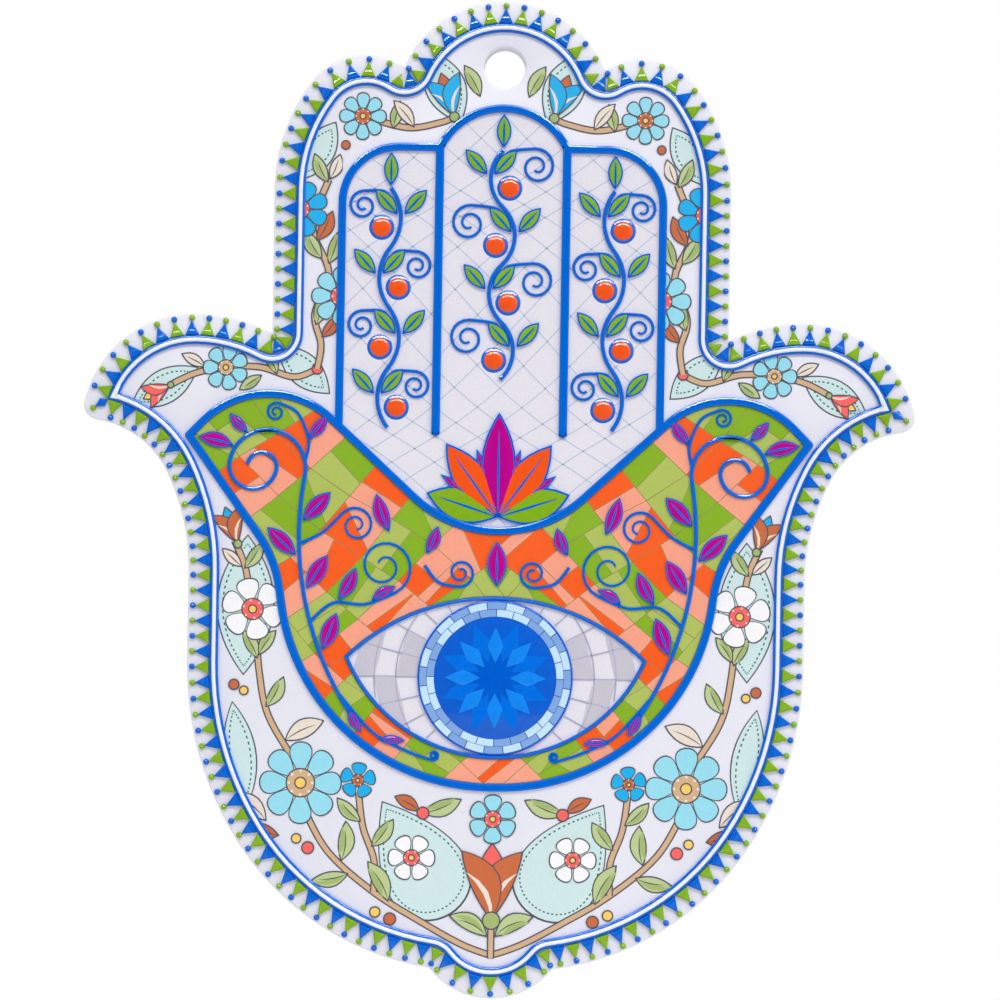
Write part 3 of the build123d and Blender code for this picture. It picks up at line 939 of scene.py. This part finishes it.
# %% Grey patches of the eye's white, with thin lines between the patches
SHADE_WIDTH = 2.6
LID_LINE = 0.5
LIDS = ((22.6, 25.8), (48.54, 19.74))
SPOKES = (*range(-42, 57, 14), *range(124, 223, 14))
SPOKE_STEPS = [step / 5 for step in range(50)]
ARC_DEGREES = range(0, 361, 2)
EYE_LINE_WIDTH = 0.1
EYE_LINE_HEIGHT = 0.125
eye_grey = ink("eye grey", (200, 197, 209))
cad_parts["eye_shade"].data.materials.clear()
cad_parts["eye_shade"].data.materials.append(eye_grey)


def in_eye(point):
    """Whether a point lies between the two round lids and outside the iris."""
    from_lids = [radius - hypot(point[0], point[1] - middle) for middle, radius in LIDS]
    return min(from_lids) > LID_LINE and (Vector(point) - EYE).length > iris_radius


def round_eye(radius, degrees):
    """The point at a radius and an angle from the middle of the eye."""
    return EYE + toward(radians(degrees), radius)


shade = drawing_of("eye_shade")
shade_from = min((v.co.to_2d() - EYE).length for v in shade.verts)
shade.free()
arcs = (shade_from + SHADE_WIDTH, shade_from + 2 * SHADE_WIDTH)
eye_rows = [[round_eye(radius, degrees) for degrees in ARC_DEGREES] for radius in arcs]
eye_rows += [[round_eye(iris_radius + away, degrees) for away in SPOKE_STEPS] for degrees in SPOKES]
eye_lines = bmesh.new()
for row in eye_rows:
    for run in runs_inside(row, in_eye):
        append(eye_lines, flat_line(run, EYE_LINE_WIDTH, EYE_LINE_HEIGHT))
set_down("eye_lines", eye_lines, ink("eye line", (164, 168, 196)), "print_grey")

# %% [markdown]
# ## Scrolls and tendrils
# Fine scrolls curl away from the vines and over the palm. A scroll runs smoothly through a few points and
# then winds inward round a circle that it touches. Blender's curve object sweeps a round section along
# such a line and tapers it by a radius at each point, so the tendrils of the vines are splines of one curve
# and the scrolls of the palm of another. Each curve is made a mesh on the drawing plane and flattened to
# the height of the lacquer.

# %% Round lines along points
TURN_STEPS = 20
CURL_IN = 0.78


def strokes(lines, width, rise, taper=0.0):
    """Sweep round lines along lists of points, flattened to a rise, and thinner at the end by a taper."""
    curve = bpy.data.curves.new("strokes", "CURVE")
    curve.dimensions = "3D"
    curve.bevel_depth = width / 2
    curve.bevel_resolution = 1
    curve.use_fill_caps = True
    for points in lines:
        spline = curve.splines.new("POLY")
        spline.points.add(len(points) - 1)
        for number, point in enumerate(points):
            spline.points[number].co = (point[0], point[1], 0, 1)
            spline.points[number].radius = 1 - taper * number / (len(points) - 1)
    holder = bpy.data.objects.new("strokes", curve)
    mesh = bpy.data.meshes.new_from_object(holder)
    bm = bmesh.new()
    bm.from_mesh(mesh)
    bmesh.ops.scale(bm, verts=bm.verts, vec=(1, 1, rise / (width / 2)))
    bpy.data.meshes.remove(mesh)
    bpy.data.objects.remove(holder)
    bpy.data.curves.remove(curve)
    return bm


def flowing(points, steps=8):
    """Run a smooth line through a few points."""
    spots = [Vector(p) for p in points]
    line = []
    for i in range(len(spots) - 1):
        first, second = spots[i], spots[i + 1]
        before, after = spots[max(i - 1, 0)], spots[min(i + 2, len(spots) - 1)]
        out, back = first + (second - before) / 6, second - (after - first) / 6
        line += interpolate_bezier(first, out, back, second, steps)[:-1]
    return line + [spots[-1]]


def scroll(points, radius, way, turns=1.6):
    """Run through points, then wind inward, way 1 to the left or -1 to the right."""
    line = flowing(points)
    heading = (line[-1] - line[-2]).normalized()
    middle = line[-1] + Vector((-heading.y, heading.x)) * way * radius
    reach = line[-1] - middle
    start = atan2(reach.y, reach.x)
    steps = int(turns * TURN_STEPS)
    for number in range(1, steps + 1):
        share = number / steps
        angle = start + way * tau * turns * share
        line.append(middle + toward(angle, radius * (1 - CURL_IN * share)))
    return line


def flipped(points):
    """The mirror image of points across the middle of the hand."""
    return [(-point[0], point[1]) for point in points]


# %% Tendrils of the finger vines
SIDE_CURL = 1.75
MIDDLE_CURL = 2.2
SIDE_STEM = 13.475
TENDRIL_WIDTH = 0.46
TENDRIL_RISE = 0.36
TAPER = 0.3
finger_lines = []
for berry, _, _ in spots_of("finger_berries"):
    stem_x = min((-SIDE_STEM, 0.0, SIDE_STEM), key=lambda x: abs(x - berry.x))
    side = 1 if berry.x < stem_x else -1
    curl = MIDDLE_CURL if stem_x == 0 else SIDE_CURL
    start = (stem_x, berry.y + 3.4)
    rise = (stem_x - side * 0.9, berry.y + 4.0 + curl * 0.2)
    crest = (stem_x - side * (curl + 1.6), berry.y + 2.6 + curl)
    finger_lines.append(scroll((start, rise, crest), curl, side))
tendrils = strokes(finger_lines, TENDRIL_WIDTH, TENDRIL_RISE, TAPER)
set_down("finger_tendrils", tendrils, lacquer_blue, "lacquer_blue")

# %% Scrolls of the palm
SCROLL_WIDTH = 0.52
SCROLL_RISE = 0.4
PALM_SCROLLS = (
    (((22.4, 45.0), (19.6, 47.3), (15.8, 47.2), (12.2, 48.6)), 3.5, -1),
    (((23.7, 54.4), (21.0, 55.8), (18.6, 58.2)), 2.2, 1),
    (((8.7, 52.0), (7.0, 50.0), (4.6, 49.5)), 1.7, -1),
    (((23.3, 64.2), (22.9, 66.8), (24.2, 70.0), (26.4, 71.2)), 1.15, -1),
    (((18.6, 36.2), (14.6, 31.8), (10.4, 29.6), (7.4, 28.6)), 0.6, -1),
)
palm_lines = [scroll(*plan) for plan in PALM_SCROLLS]
palm_lines += [flipped(points) for points in palm_lines]
palm_scrolls = strokes(palm_lines, SCROLL_WIDTH, SCROLL_RISE, TAPER)
set_down("palm_scrolls", palm_scrolls, lacquer_blue, "lacquer_blue")

# %% More leaves of the palm
PALM_LEAF_HEIGHT = 0.42
PALM_LEAVES = (
    ((19.0, 47.7), 118, 4.4, 1.8, 0.2),
    ((15.0, 47.6), 148, 3.4, 1.4, -0.2),
    ((13.0, 56.0), 70, 4.8, 1.9, -0.2),
    ((8.5, 53.4), 112, 3.6, 1.6, 0.2),
    ((31.9, 66.0), 14, 4.4, 1.9, 0.2),
    ((22.9, 67.0), 128, 3.6, 1.5, 0.1),
    ((30.2, 67.6), 46, 3.2, 1.4, -0.1),
    ((13.9, 31.0), 182, 3.2, 1.2, 0.0),
    ((17.6, 34.6), 240, 3.2, 1.3, 0.1),
)
sheet = bmesh.new()
for (x, y), degrees, length, width, bend in PALM_LEAVES:
    for foot, angle, bow in (((x, y), degrees, bend), ((-x, y), 180 - degrees, -bend)):
        raised_leaf(sheet, foot, radians(angle), length, width, PALM_LEAF_HEIGHT, bend=bow)
raised_leaf(sheet, (0.0, 49.6), pi / 2, 5.4, 2.4, PALM_LEAF_HEIGHT)
set_down_leaves(sheet, "palm_leaves_more", "palm_leaves_more_outline", lacquer_magenta, "lacquer_magenta")

# %% [markdown]
# ## Pale grounds
# The finger panel and the white of the eye are printed in a warmer white than the board. Their outlines
# could be drawn again with arcs, but the raised line round them has them already: an edge that belongs to
# one top face only lies on the border of the top, and such edges form closed loops. Each ground is the
# tightest loop round a point, filled and given the thickness of a film.

# %% Loops of the contour


def loops_round(faces):
    """The closed lines round some faces, each as a list of points in order."""
    faces = set(faces)
    edges = {e for f in faces for e in f.edges if len(faces.intersection(e.link_faces)) == 1}
    loops = []
    while edges:
        line = list(edges.pop().verts)
        while line[0] != line[-1]:
            step = next(e for e in line[-1].link_edges if e in edges)
            edges.remove(step)
            line.append(step.other_vert(line[-1]))
        loops.append([v.co.to_2d() for v in line[1:]])
    return loops


def encloses(loop, point):
    """Whether a loop runs round a point: a line to the right crosses it an odd number of times."""
    x, y = point
    crossings = 0
    for a, b in zip(loop, loop[1:] + loop[:1]):
        if (a.y > y) != (b.y > y) and x < a.x + (b.x - a.x) * (y - a.y) / (b.y - a.y):
            crossings += 1
    return crossings % 2 == 1


contour_copy = drawing_of("hand_contour")
contour_loops = loops_round(top_of(contour_copy))
contour_copy.free()


def tightest(point):
    """The narrowest loop of the contour round a point."""
    around = [loop for loop in contour_loops if encloses(loop, point)]
    return min(around, key=lambda loop: max(p.x for p in loop))


print(len(contour_loops), "loops in the contour")

# %% Warm white in the finger panel and the eye
GROUND_FILM = 0.012
PANEL_MIDDLE = (0.0, 90.0)
panel_loop = tightest(PANEL_MIDDLE)
grounds = bmesh.new()
for loop in (panel_loop, tightest(EYE)):
    grounds.faces.new([grounds.verts.new((*point, 0)) for point in loop])
thicken(grounds, GROUND_FILM)
bmesh.ops.triangulate(grounds, faces=grounds.faces)
set_down("warm_grounds", grounds, ink("ground white", (230, 227, 236)), "board_white")

# %% [markdown]
# ## Trellis behind the vines
# The finger panel has a fine pale trellis under its vines. Lines in two directions, each with a slow bow,
# are walked in short steps and kept only where they lie inside the panel's loop.

# %% Trellis
TRELLIS_LOWEST = 52.0
TRELLIS_PITCH = 4.6
TRELLIS_SLOPE = 0.85
TRELLIS_BOW = 1.6
TRELLIS_WAVE = 0.16
TRELLIS_WIDTH = 0.13
TRELLIS_FILM = 0.02
TRELLIS_ROWS = range(-6, 22)
TRELLIS_STEPS = [step / 4 for step in range(-76, 77)]


def in_panel(point):
    """Whether a point lies inside the finger panel."""
    return encloses(panel_loop, point)


trellis = bmesh.new()
for family in (-1, 1):
    for number in TRELLIS_ROWS:
        row = []
        for x in TRELLIS_STEPS:
            bow = TRELLIS_BOW * sin(TRELLIS_WAVE * x * family + number)
            row.append((x, TRELLIS_LOWEST + number * TRELLIS_PITCH + family * TRELLIS_SLOPE * x + bow))
        for run in runs_inside(row, in_panel):
            append(trellis, flat_line(run, TRELLIS_WIDTH, TRELLIS_FILM))
set_down("finger_trellis", trellis, ink("trellis grey", (188, 200, 220)), "print_grey")

# %% [markdown]
# ## Print on the outer field
# The field between the contour and the rim is printed with flowers, leaves and pale panels in thin grey
# outlines. Every printed shape is a disc drawn out to a form, once in the outline's grey and once, a
# little smaller, in its own ink. As in a printing press each coat lies on the last one: every shape is a
# hair higher than the one before, so what is drawn later covers what was drawn earlier. One drawing
# collects all shapes of the right half. It is then mirrored and split by ink, so that each ink is a piece.

# %% Inks and coats
FIELD_INKS = {
    "outline": ((84, 84, 94), "print_grey"),
    "sky": ((152, 220, 238), "print_pale_blue"),
    "cyan": ((30, 176, 236), "print_bright_blue"),
    "white": ((246, 246, 250), "board_white"),
    "coral": ((248, 104, 100), "print_orange"),
    "yellow": ((246, 206, 104), "print_peach"),
    "aqua": ((206, 229, 230), "print_pale_blue"),
    "terracotta": ((202, 108, 66), "print_orange"),
    "tan": ((212, 176, 138), "print_peach"),
    "cream": ((234, 222, 208), "print_peach"),
    "sage": ((188, 204, 146), "print_lime"),
    "olive": ((164, 184, 114), "print_green"),
    "stitch": ((62, 108, 102), "print_green"),
}
INK_ORDER = list(FIELD_INKS)
OUTLINE = 0.17
FIRST_COAT = 0.02
COAT = 0.0003
coats = count()


def next_coat():
    """The height of the next coat of ink."""
    return FIRST_COAT + COAT * next(coats)


def one_ink(sheet, name, form, foot, angle, length, width, bend=0.0, line=0.0, tips=1.0, sides=22, coat=None):
    """Print one form in one ink, as the next coat or at the height of a coat."""
    shape = slab(coat or next_coat(), INK_ORDER.index(name), sides)
    stretch(shape, form, foot, angle, length, width, bend, line, tips)
    append(sheet, shape)


def outlined(sheet, name, form, foot, angle, length, width, bend=0.0, tips=1.0, sides=22):
    """Print one form with a grey outline."""
    one_ink(sheet, "outline", form, foot, angle, length, width, bend, sides=sides)
    one_ink(sheet, name, form, foot, angle, length, width, bend, OUTLINE, tips, sides)


def ribbon(sheet, name, line, width, coat):
    """Print a line of even width along points, at the height of a coat."""
    bm = flat_line(line, width, coat)
    mark(bm.faces, INK_ORDER.index(name))
    append(sheet, bm)


# %% Forms of the print


def rounded(x, y):
    """A disc or an oval."""
    return y


def petal(x, y):
    """Narrow at the foot and round at the end."""
    return y * (0.64 + 0.36 * x)


def tear(x, y):
    """Round at the foot and pointed at the end."""
    return 1.3 * y * sqrt(max((1 - x) / 2, 0))


def disc(sheet, name, middle, radius):
    """A dot with an outline."""
    outlined(sheet, name, rounded, (middle[0] - radius, middle[1]), 0, 2 * radius, 2 * radius)


# %% Rosette, its sizes as shares of its radius
PETAL_START = 0.2
PETAL_OVERLAP = 1.02
HEART = 0.36
DOT_RING = 0.25
DOT = 0.07
HEART_MIDDLE = 0.15


def rosette(sheet, middle, radius, petals, fill, heart, turn=0.0):
    """An open flower: petals round a heart of two discs with a ring of dots."""
    middle = Vector(middle)
    angles = [tau * number / petals + turn for number in range(petals)]
    width = 2 * radius * sin(pi / petals) * PETAL_OVERLAP
    for angle in angles:
        foot = middle + toward(angle, radius * PETAL_START)
        outlined(sheet, fill, petal, foot, angle, radius * (1 - PETAL_START), width)
    disc(sheet, heart, middle, radius * HEART)
    coat = next_coat()
    dot = radius * DOT
    for angle in angles:
        spot = middle + toward(angle, radius * DOT_RING)
        one_ink(sheet, "cream", rounded, spot, angle, dot, dot, sides=8, coat=coat)
    disc(sheet, "yellow", middle, radius * HEART_MIDDLE)


# %% Leaf, its dark half as shares of its length and width
HALF_START = 0.14
HALF_ASIDE = 0.17
HALF_LENGTH = 0.72
HALF_WIDTH = 0.34
PRINT_RIB_LENGTH = 0.8
PRINT_RIB_WIDTH = 0.15


def printed_leaf(sheet, foot, degrees, length, width, fill, bend=0.0):
    """A pointed leaf with a rib. A sage leaf has a darker half."""
    angle = radians(degrees)
    outlined(sheet, fill, lens, foot, angle, length, width, bend, slant(length, width))
    if fill == "sage":
        start = Vector(foot) + toward(angle, length * HALF_START)
        start += toward(angle - pi / 2, width * HALF_ASIDE)
        half = length * HALF_LENGTH
        one_ink(sheet, "olive", lens, start, angle, half, width * HALF_WIDTH, bend * HALF_LENGTH)
    rib = length * PRINT_RIB_LENGTH
    one_ink(sheet, "outline", lens, foot, angle, rib, PRINT_RIB_WIDTH, bend * PRINT_RIB_LENGTH, sides=12)


# %% Tulip, its sizes as shares of its length and its turns in radians
INNER_WIDTH = 0.42
OUTER_LENGTH = 0.98
OUTER_WIDTH = 0.4
OUTER_BOW = 0.13
OUTER_TURN = 0.42
STREAK_LENGTH = 0.7
STREAK_WIDTH = 0.07
STREAK_BOW = 0.104
STREAK_TURN = 0.5
TULIP_BASE = 0.12
TULIP_TIPS = 1.5


def tulip(sheet, foot, degrees, length, outer, inner):
    """A bud of two outer petals, each with a pale streak, over an inner one."""
    angle = radians(degrees)
    outlined(sheet, inner, lens, foot, angle, length, length * INNER_WIDTH, 0.0, TULIP_TIPS)
    long, wide = length * OUTER_LENGTH, length * OUTER_WIDTH
    for side in (-1, 1):
        bow = -side * length * OUTER_BOW
        outlined(sheet, outer, lens, foot, angle + side * OUTER_TURN, long, wide, bow, TULIP_TIPS)
        streak = (length * STREAK_LENGTH, length * STREAK_WIDTH, -side * length * STREAK_BOW)
        one_ink(sheet, "cream", lens, foot, angle + side * STREAK_TURN, *streak, sides=12)
    disc(sheet, "olive", foot, length * TULIP_BASE)


# %% Panel and stem
PANEL_SIDES = 48
PANEL_TIPS = 1.4
STITCHES_PER_MM = 1.3
STITCH_WIDTH = 0.18
STITCH_INSIDE = 0.75
STITCH_TIPS = 1.5
STEM_WIDTH = 0.55


def panel(sheet, form, foot, degrees, length, width):
    """A pale panel with a row of stitches a little inside its edge."""
    angle = radians(degrees)
    outlined(sheet, "aqua", form, foot, angle, length, width, 0.0, PANEL_TIPS, PANEL_SIDES)
    ring = bmesh.new()
    segments = 4 * round((length + width) * STITCHES_PER_MM)
    bmesh.ops.create_circle(ring, segments=segments, radius=1)
    stretch(ring, form, foot, angle, length, width, 0.0, STITCH_INSIDE, STITCH_TIPS)
    points = [v.co.to_2d() for v in ring.verts]
    ring.free()
    coat = next_coat()
    for i in range(0, len(points), 2):
        ribbon(sheet, "stitch", (points[i - 1], points[i]), STITCH_WIDTH, coat)


def stem(sheet, points):
    """A tan stem with a grey outline."""
    line = flowing(points)
    ribbon(sheet, "outline", line, STEM_WIDTH + 2 * OUTLINE, next_coat())
    ribbon(sheet, "tan", line, STEM_WIDTH, next_coat())


# %% The right half of the field: panels and stems
field = bmesh.new()
for form, foot, degrees, length, width in (
    (tear, (4.9, 10.0), 58, 16.0, 10.4),
    (lens, (29.4, 22.9), 80, 12.6, 3.9),
    (lens, (30.3, 38.4), 91, 17.0, 7.0),
    (lens, (20.4, 72.4), 42, 8.6, 4.0),
    (lens, (36.3, 75.4), -31, 9.4, 4.2),
    (lens, (20.2, 105.2), -60, 8.2, 4.0),
    (lens, (5.2, 105.2), 66, 9.6, 5.0),
):
    panel(field, form, foot, degrees, length, width)
for points in (
    ((0.0, 5.2), (3.6, 6.5), (8.6, 9.2), (14.2, 12.6), (19.8, 17.4), (23.0, 23.0)),
    ((23.8, 28.0), (27.2, 33.6), (28.4, 39.0), (28.8, 44.0)),
    ((29.6, 47.0), (30.2, 51.2), (31.6, 54.6)),
    ((22.0, 75.4), (24.8, 74.4), (28.8, 75.5), (33.0, 75.6)),
    ((33.0, 75.6), (36.8, 74.6), (39.8, 73.1)),
    ((6.0, 106.0), (7.6, 105.3), (11.6, 104.6), (16.6, 105.8)),
    ((14.2, 12.6), (14.2, 16.4), (15.6, 20.4), (16.2, 24.6)),
):
    stem(field, points)

# %% The right half of the field: leaves, flowers and berries
FIELD_LEAVES = (
    ((12.4, 11.4), 62, 5.6, 2.2, "sage", 0.4),
    ((17.2, 14.8), -12, 4.8, 2.0, "sage", -0.3),
    ((18.2, 16.2), 96, 5.0, 2.1, "sage", 0.4),
    ((14.6, 18.0), 128, 4.4, 1.9, "sage", 0.2),
    ((15.8, 21.0), 44, 4.2, 1.8, "sage", -0.2),
    ((27.6, 34.6), 120, 4.4, 1.8, "sage", 0.3),
    ((28.6, 40.4), 62, 4.0, 1.7, "sage", 0.2),
    ((28.5, 40.8), 124, 3.8, 1.6, "sage", -0.2),
    ((25.2, 30.6), 152, 5.4, 2.4, "cream", -0.3),
    ((27.2, 20.9), 42, 5.2, 2.2, "cream", 0.3),
    ((25.6, 19.2), 18, 4.4, 2.0, "terracotta", -0.2),
    ((30.4, 51.2), 124, 4.0, 1.7, "sage", 0.2),
    ((30.6, 51.4), 42, 3.4, 1.5, "cream", 0.0),
    ((26.8, 74.6), 62, 3.6, 1.5, "sage", 0.2),
    ((28.6, 74.6), -34, 3.4, 1.5, "sage", 0.0),
    ((35.4, 75.4), 28, 3.4, 1.5, "cream", 0.1),
    ((13.4, 104.4), 104, 3.6, 1.6, "sage", 0.0),
    ((10.8, 104.6), 52, 4.2, 1.7, "cream", 0.2),
    ((2.9, 108.4), 62, 4.4, 1.8, "sage", 0.2),
    ((8.6, 22.2), 160, 5.2, 2.1, "sage", 0.3),
    ((8.8, 22.4), 30, 3.6, 1.7, "terracotta", 0.2),
)
for leaf_plan in FIELD_LEAVES:
    printed_leaf(field, *leaf_plan)
rosette(field, (23.2, 25.6), 5.0, 8, "sky", "tan")
rosette(field, (29.3, 46.4), 3.8, 6, "white", "coral", 0.3)
rosette(field, (9.7, 16.8), 2.9, 6, "white", "coral")
rosette(field, (16.3, 26.0), 2.2, 5, "cyan", "terracotta", 0.4)
rosette(field, (33.0, 75.4), 2.8, 7, "sky", "tan")
rosette(field, (17.0, 105.9), 2.9, 8, "sky", "terracotta")
tulip(field, (31.2, 54.2), 70, 4.8, "terracotta", "cyan")
tulip(field, (6.0, 106.0), 72, 5.6, "cyan", "terracotta")
tulip(field, (39.6, 73.2), -28, 3.8, "coral", "yellow")
for spot, radius, fill in (
    ((12.2, 9.4), 0.8, "terracotta"),
    ((14.0, 10.2), 0.7, "yellow"),
    ((22.2, 17.8), 0.8, "coral"),
    ((23.6, 18.9), 0.65, "yellow"),
    ((8.4, 22.2), 0.8, "coral"),
    ((31.4, 37.3), 0.7, "terracotta"),
    ((30.2, 36.6), 0.6, "yellow"),
    ((22.0, 75.4), 0.7, "coral"),
    ((19.0, 102.4), 0.6, "terracotta"),
):
    disc(field, fill, spot, radius)
print("right half of the field:", len(field.faces), "faces")

# %% The strips beside the fingers, cut by the contour and the rim
STRIP_LEFT = 19.35
STRIP_RIGHT = 24.3
strip = bmesh.new()
stem(strip, ((22.0, 75.4), (21.6, 78.4), (22.4, 82.0), (20.8, 87.0), (22.8, 92.4), (21.0, 98.2)))
STRIP_LEAVES = (
    ((22.3, 80.6), 100, 4.0, 1.8, "sage", 0.3),
    ((21.6, 79.2), 128, 3.4, 1.6, "terracotta", 0.2),
    ((21.6, 88.6), 58, 4.2, 1.9, "sage", -0.2),
    ((20.9, 88.0), 108, 4.4, 1.8, "sage", 0.2),
    ((22.4, 90.8), 118, 4.2, 1.8, "terracotta", 0.3),
    ((21.0, 97.8), 64, 4.0, 1.7, "sage", -0.2),
    ((20.9, 98.2), 112, 3.4, 1.6, "cream", 0.2),
)
for leaf_plan in STRIP_LEAVES:
    printed_leaf(strip, *leaf_plan)
rosette(strip, (19.3, 84.2), 3.6, 8, "sky", "coral")
rosette(strip, (24.4, 94.6), 3.5, 8, "cyan", "coral", 0.4)
cut(strip, (STRIP_LEFT, 0, 0), (-1, 0, 0), clear_outer=True)
cut(strip, (STRIP_RIGHT, 0, 0), (1, 0, 0), clear_outer=True)
append(field, strip)

# %% End the print under the rim
UNDER_RIM = 3.3
HOLE = Vector((0.0, 112.0))
NEAR_HOLE = 3.0
MID_BOARD = -2.0
walls = drawing_of("board")
flat = [f for f in walls.faces if abs(f.normal.z) > 0.5]
bored = [f for f in walls.faces if (f.calc_center_median().to_2d() - HOLE).length < NEAR_HOLE]
bmesh.ops.delete(walls, geom=list({*flat, *bored}), context="FACES")
cut_edge = BVHTree.FromBMesh(walls)
walls.free()
moved = 0
for vert in field.verts:
    place = vert.co.to_2d()
    spot, _, _, distance = cut_edge.find_nearest((*place, MID_BOARD))
    if distance < UNDER_RIM:
        vert.co.xy = spot.to_2d() + (place - spot.to_2d()) * UNDER_RIM / distance
        moved += 1
print(moved, "corners drawn in under the rim")

# %% Mirror the field, add the middle, and split it by ink
other_half = field.copy()
bmesh.ops.scale(other_half, verts=other_half.verts, vec=(-1, 1, 1))
bmesh.ops.reverse_faces(other_half, faces=other_half.faces)
append(field, other_half)
stem(field, ((0.0, 4.9), (0.0, 7.4), (0.0, 9.8)))
for side in (-1, 1):
    printed_leaf(field, (side * 0.4, 7.4), 90 - side * 62, 5.4, 2.2, "sage", side * 0.6)
tulip(field, (0.0, 9.4), 90, 9.4, "terracotta", "coral")
rosette(field, (0.0, 21.6), 3.0, 6, "sky", "coral", pi / 6)
for name, part in split(field, INK_ORDER).items():
    colour, slot = FIELD_INKS[name]
    set_down("field_" + name, part, ink("ink " + name, colour), slot)
field.free()
print(next(coats), "coats of ink")

# %% [markdown]
# ## Camera and light
# The camera looks straight at the face, as the photographer did, from a little under half a metre. The
# light is a wide soft sky with two far soft boxes, above and at the right, which give soft shadows down
# and to the left. A strip lamp close above shows in the gloss only: it draws thin bright lines on the
# upper slopes of the lacquer and leaves the print alone. Straight in front and behind, the sky is dark, so
# flat gloss keeps its full colour. The floor is a plain pale disc, far enough below to stay out of the
# picture.

# %% Camera
SENSOR_WIDTH = 36
CAMERA_DISTANCE = 0.42
FRAME_SIDE = 0.1203
ASIDE = 0.00024
ROLL = radians(-0.95)
centre = (cad_box[0] + cad_box[1]) / 2
camera_data = bpy.data.cameras.new("camera")
camera_data.sensor_width = SENSOR_WIDTH
camera_data.lens = SENSOR_WIDTH * CAMERA_DISTANCE / FRAME_SIDE
camera = bpy.data.objects.new("camera", camera_data)
camera.matrix_world = (
    Matrix.Translation((centre.x + ASIDE, board_low.y - CAMERA_DISTANCE, centre.z))
    @ Matrix.Rotation(ROLL, 4, "Y")
    @ Matrix.Rotation(radians(90), 4, "X")
)
bpy.context.scene.collection.objects.link(camera)
bpy.context.scene.camera = camera
bpy.context.scene.view_settings.view_transform = "Standard"
print("lens", round(camera_data.lens, 1), "mm")

# %% Sky
SKY_LIGHT = 0.75
FRONT_SHADE = 0.72
FRONT_FALLOFF = 6.0
world = bpy.data.worlds.new("studio")
world.use_nodes = True
world.node_tree.nodes.clear()
sky = Socket(world.node_tree)
direction = sky.node("ShaderNodeTexCoord", output="Generated")
depth = sky.node("ShaderNodeSeparateXYZ", {}, {0: direction}, "Y")
head_on = depth.math("POWER", depth, FRONT_FALLOFF)
light = sky.node("ShaderNodeBackground", {}, {0: (1, 1, 1, 1), 1: SKY_LIGHT - FRONT_SHADE * head_on})
backdrop = sky.node("ShaderNodeBackground", {}, {0: (1, 1, 1, 1), 1: 1.0})
seen = sky.node("ShaderNodeLightPath", output="Is Camera Ray")
shown = sky.node("ShaderNodeMixShader", {}, {0: seen, 1: light, 2: backdrop})
sky.node("ShaderNodeOutputWorld", {}, {0: shown})
bpy.context.scene.world = world

# %% Soft boxes and a strip lamp


def soft_box(name, place, size, power, gloss_only=False):
    """Hang an oblong lamp that faces the middle of the ornament, for all light or for the gloss only."""
    data = bpy.data.lights.new(name, "AREA")
    data.shape = "RECTANGLE"
    data.size, data.size_y = size
    data.energy = power
    lamp = bpy.data.objects.new(name, data)
    away = Vector(place) - centre
    lamp.matrix_world = Matrix.Translation(place) @ away.to_track_quat("Z", "Y").to_matrix().to_4x4()
    lamp.visible_diffuse = not gloss_only
    bpy.context.scene.collection.objects.link(lamp)


soft_box("box above", (0.24, -1.5, 1.95), (2.4, 0.58), 34.0)
soft_box("box right", (2.0, -1.4, 0.5), (0.6, 2.0), 8.2)
soft_box("glint", (0.03, -0.35, 0.3), (0.7, 0.08), 7.6, gloss_only=True)

# %% Floor
FLOOR_RADIUS = 0.25
FLOOR_HEIGHT = -0.16
floor_sheet = bmesh.new()
place = Matrix.Translation((0, 0, FLOOR_HEIGHT))
bmesh.ops.create_circle(floor_sheet, cap_ends=True, segments=64, radius=FLOOR_RADIUS, matrix=place)
floor_mesh = bpy.data.meshes.new("floor")
floor_sheet.to_mesh(floor_mesh)
floor_sheet.free()
floor_mesh.materials.append(ink("floor", (244, 243, 242), 0.01, 0.6))
floor = bpy.data.objects.new("floor", floor_mesh)
bpy.context.scene.collection.objects.link(floor)
print("floor", FLOOR_RADIUS, "m round")
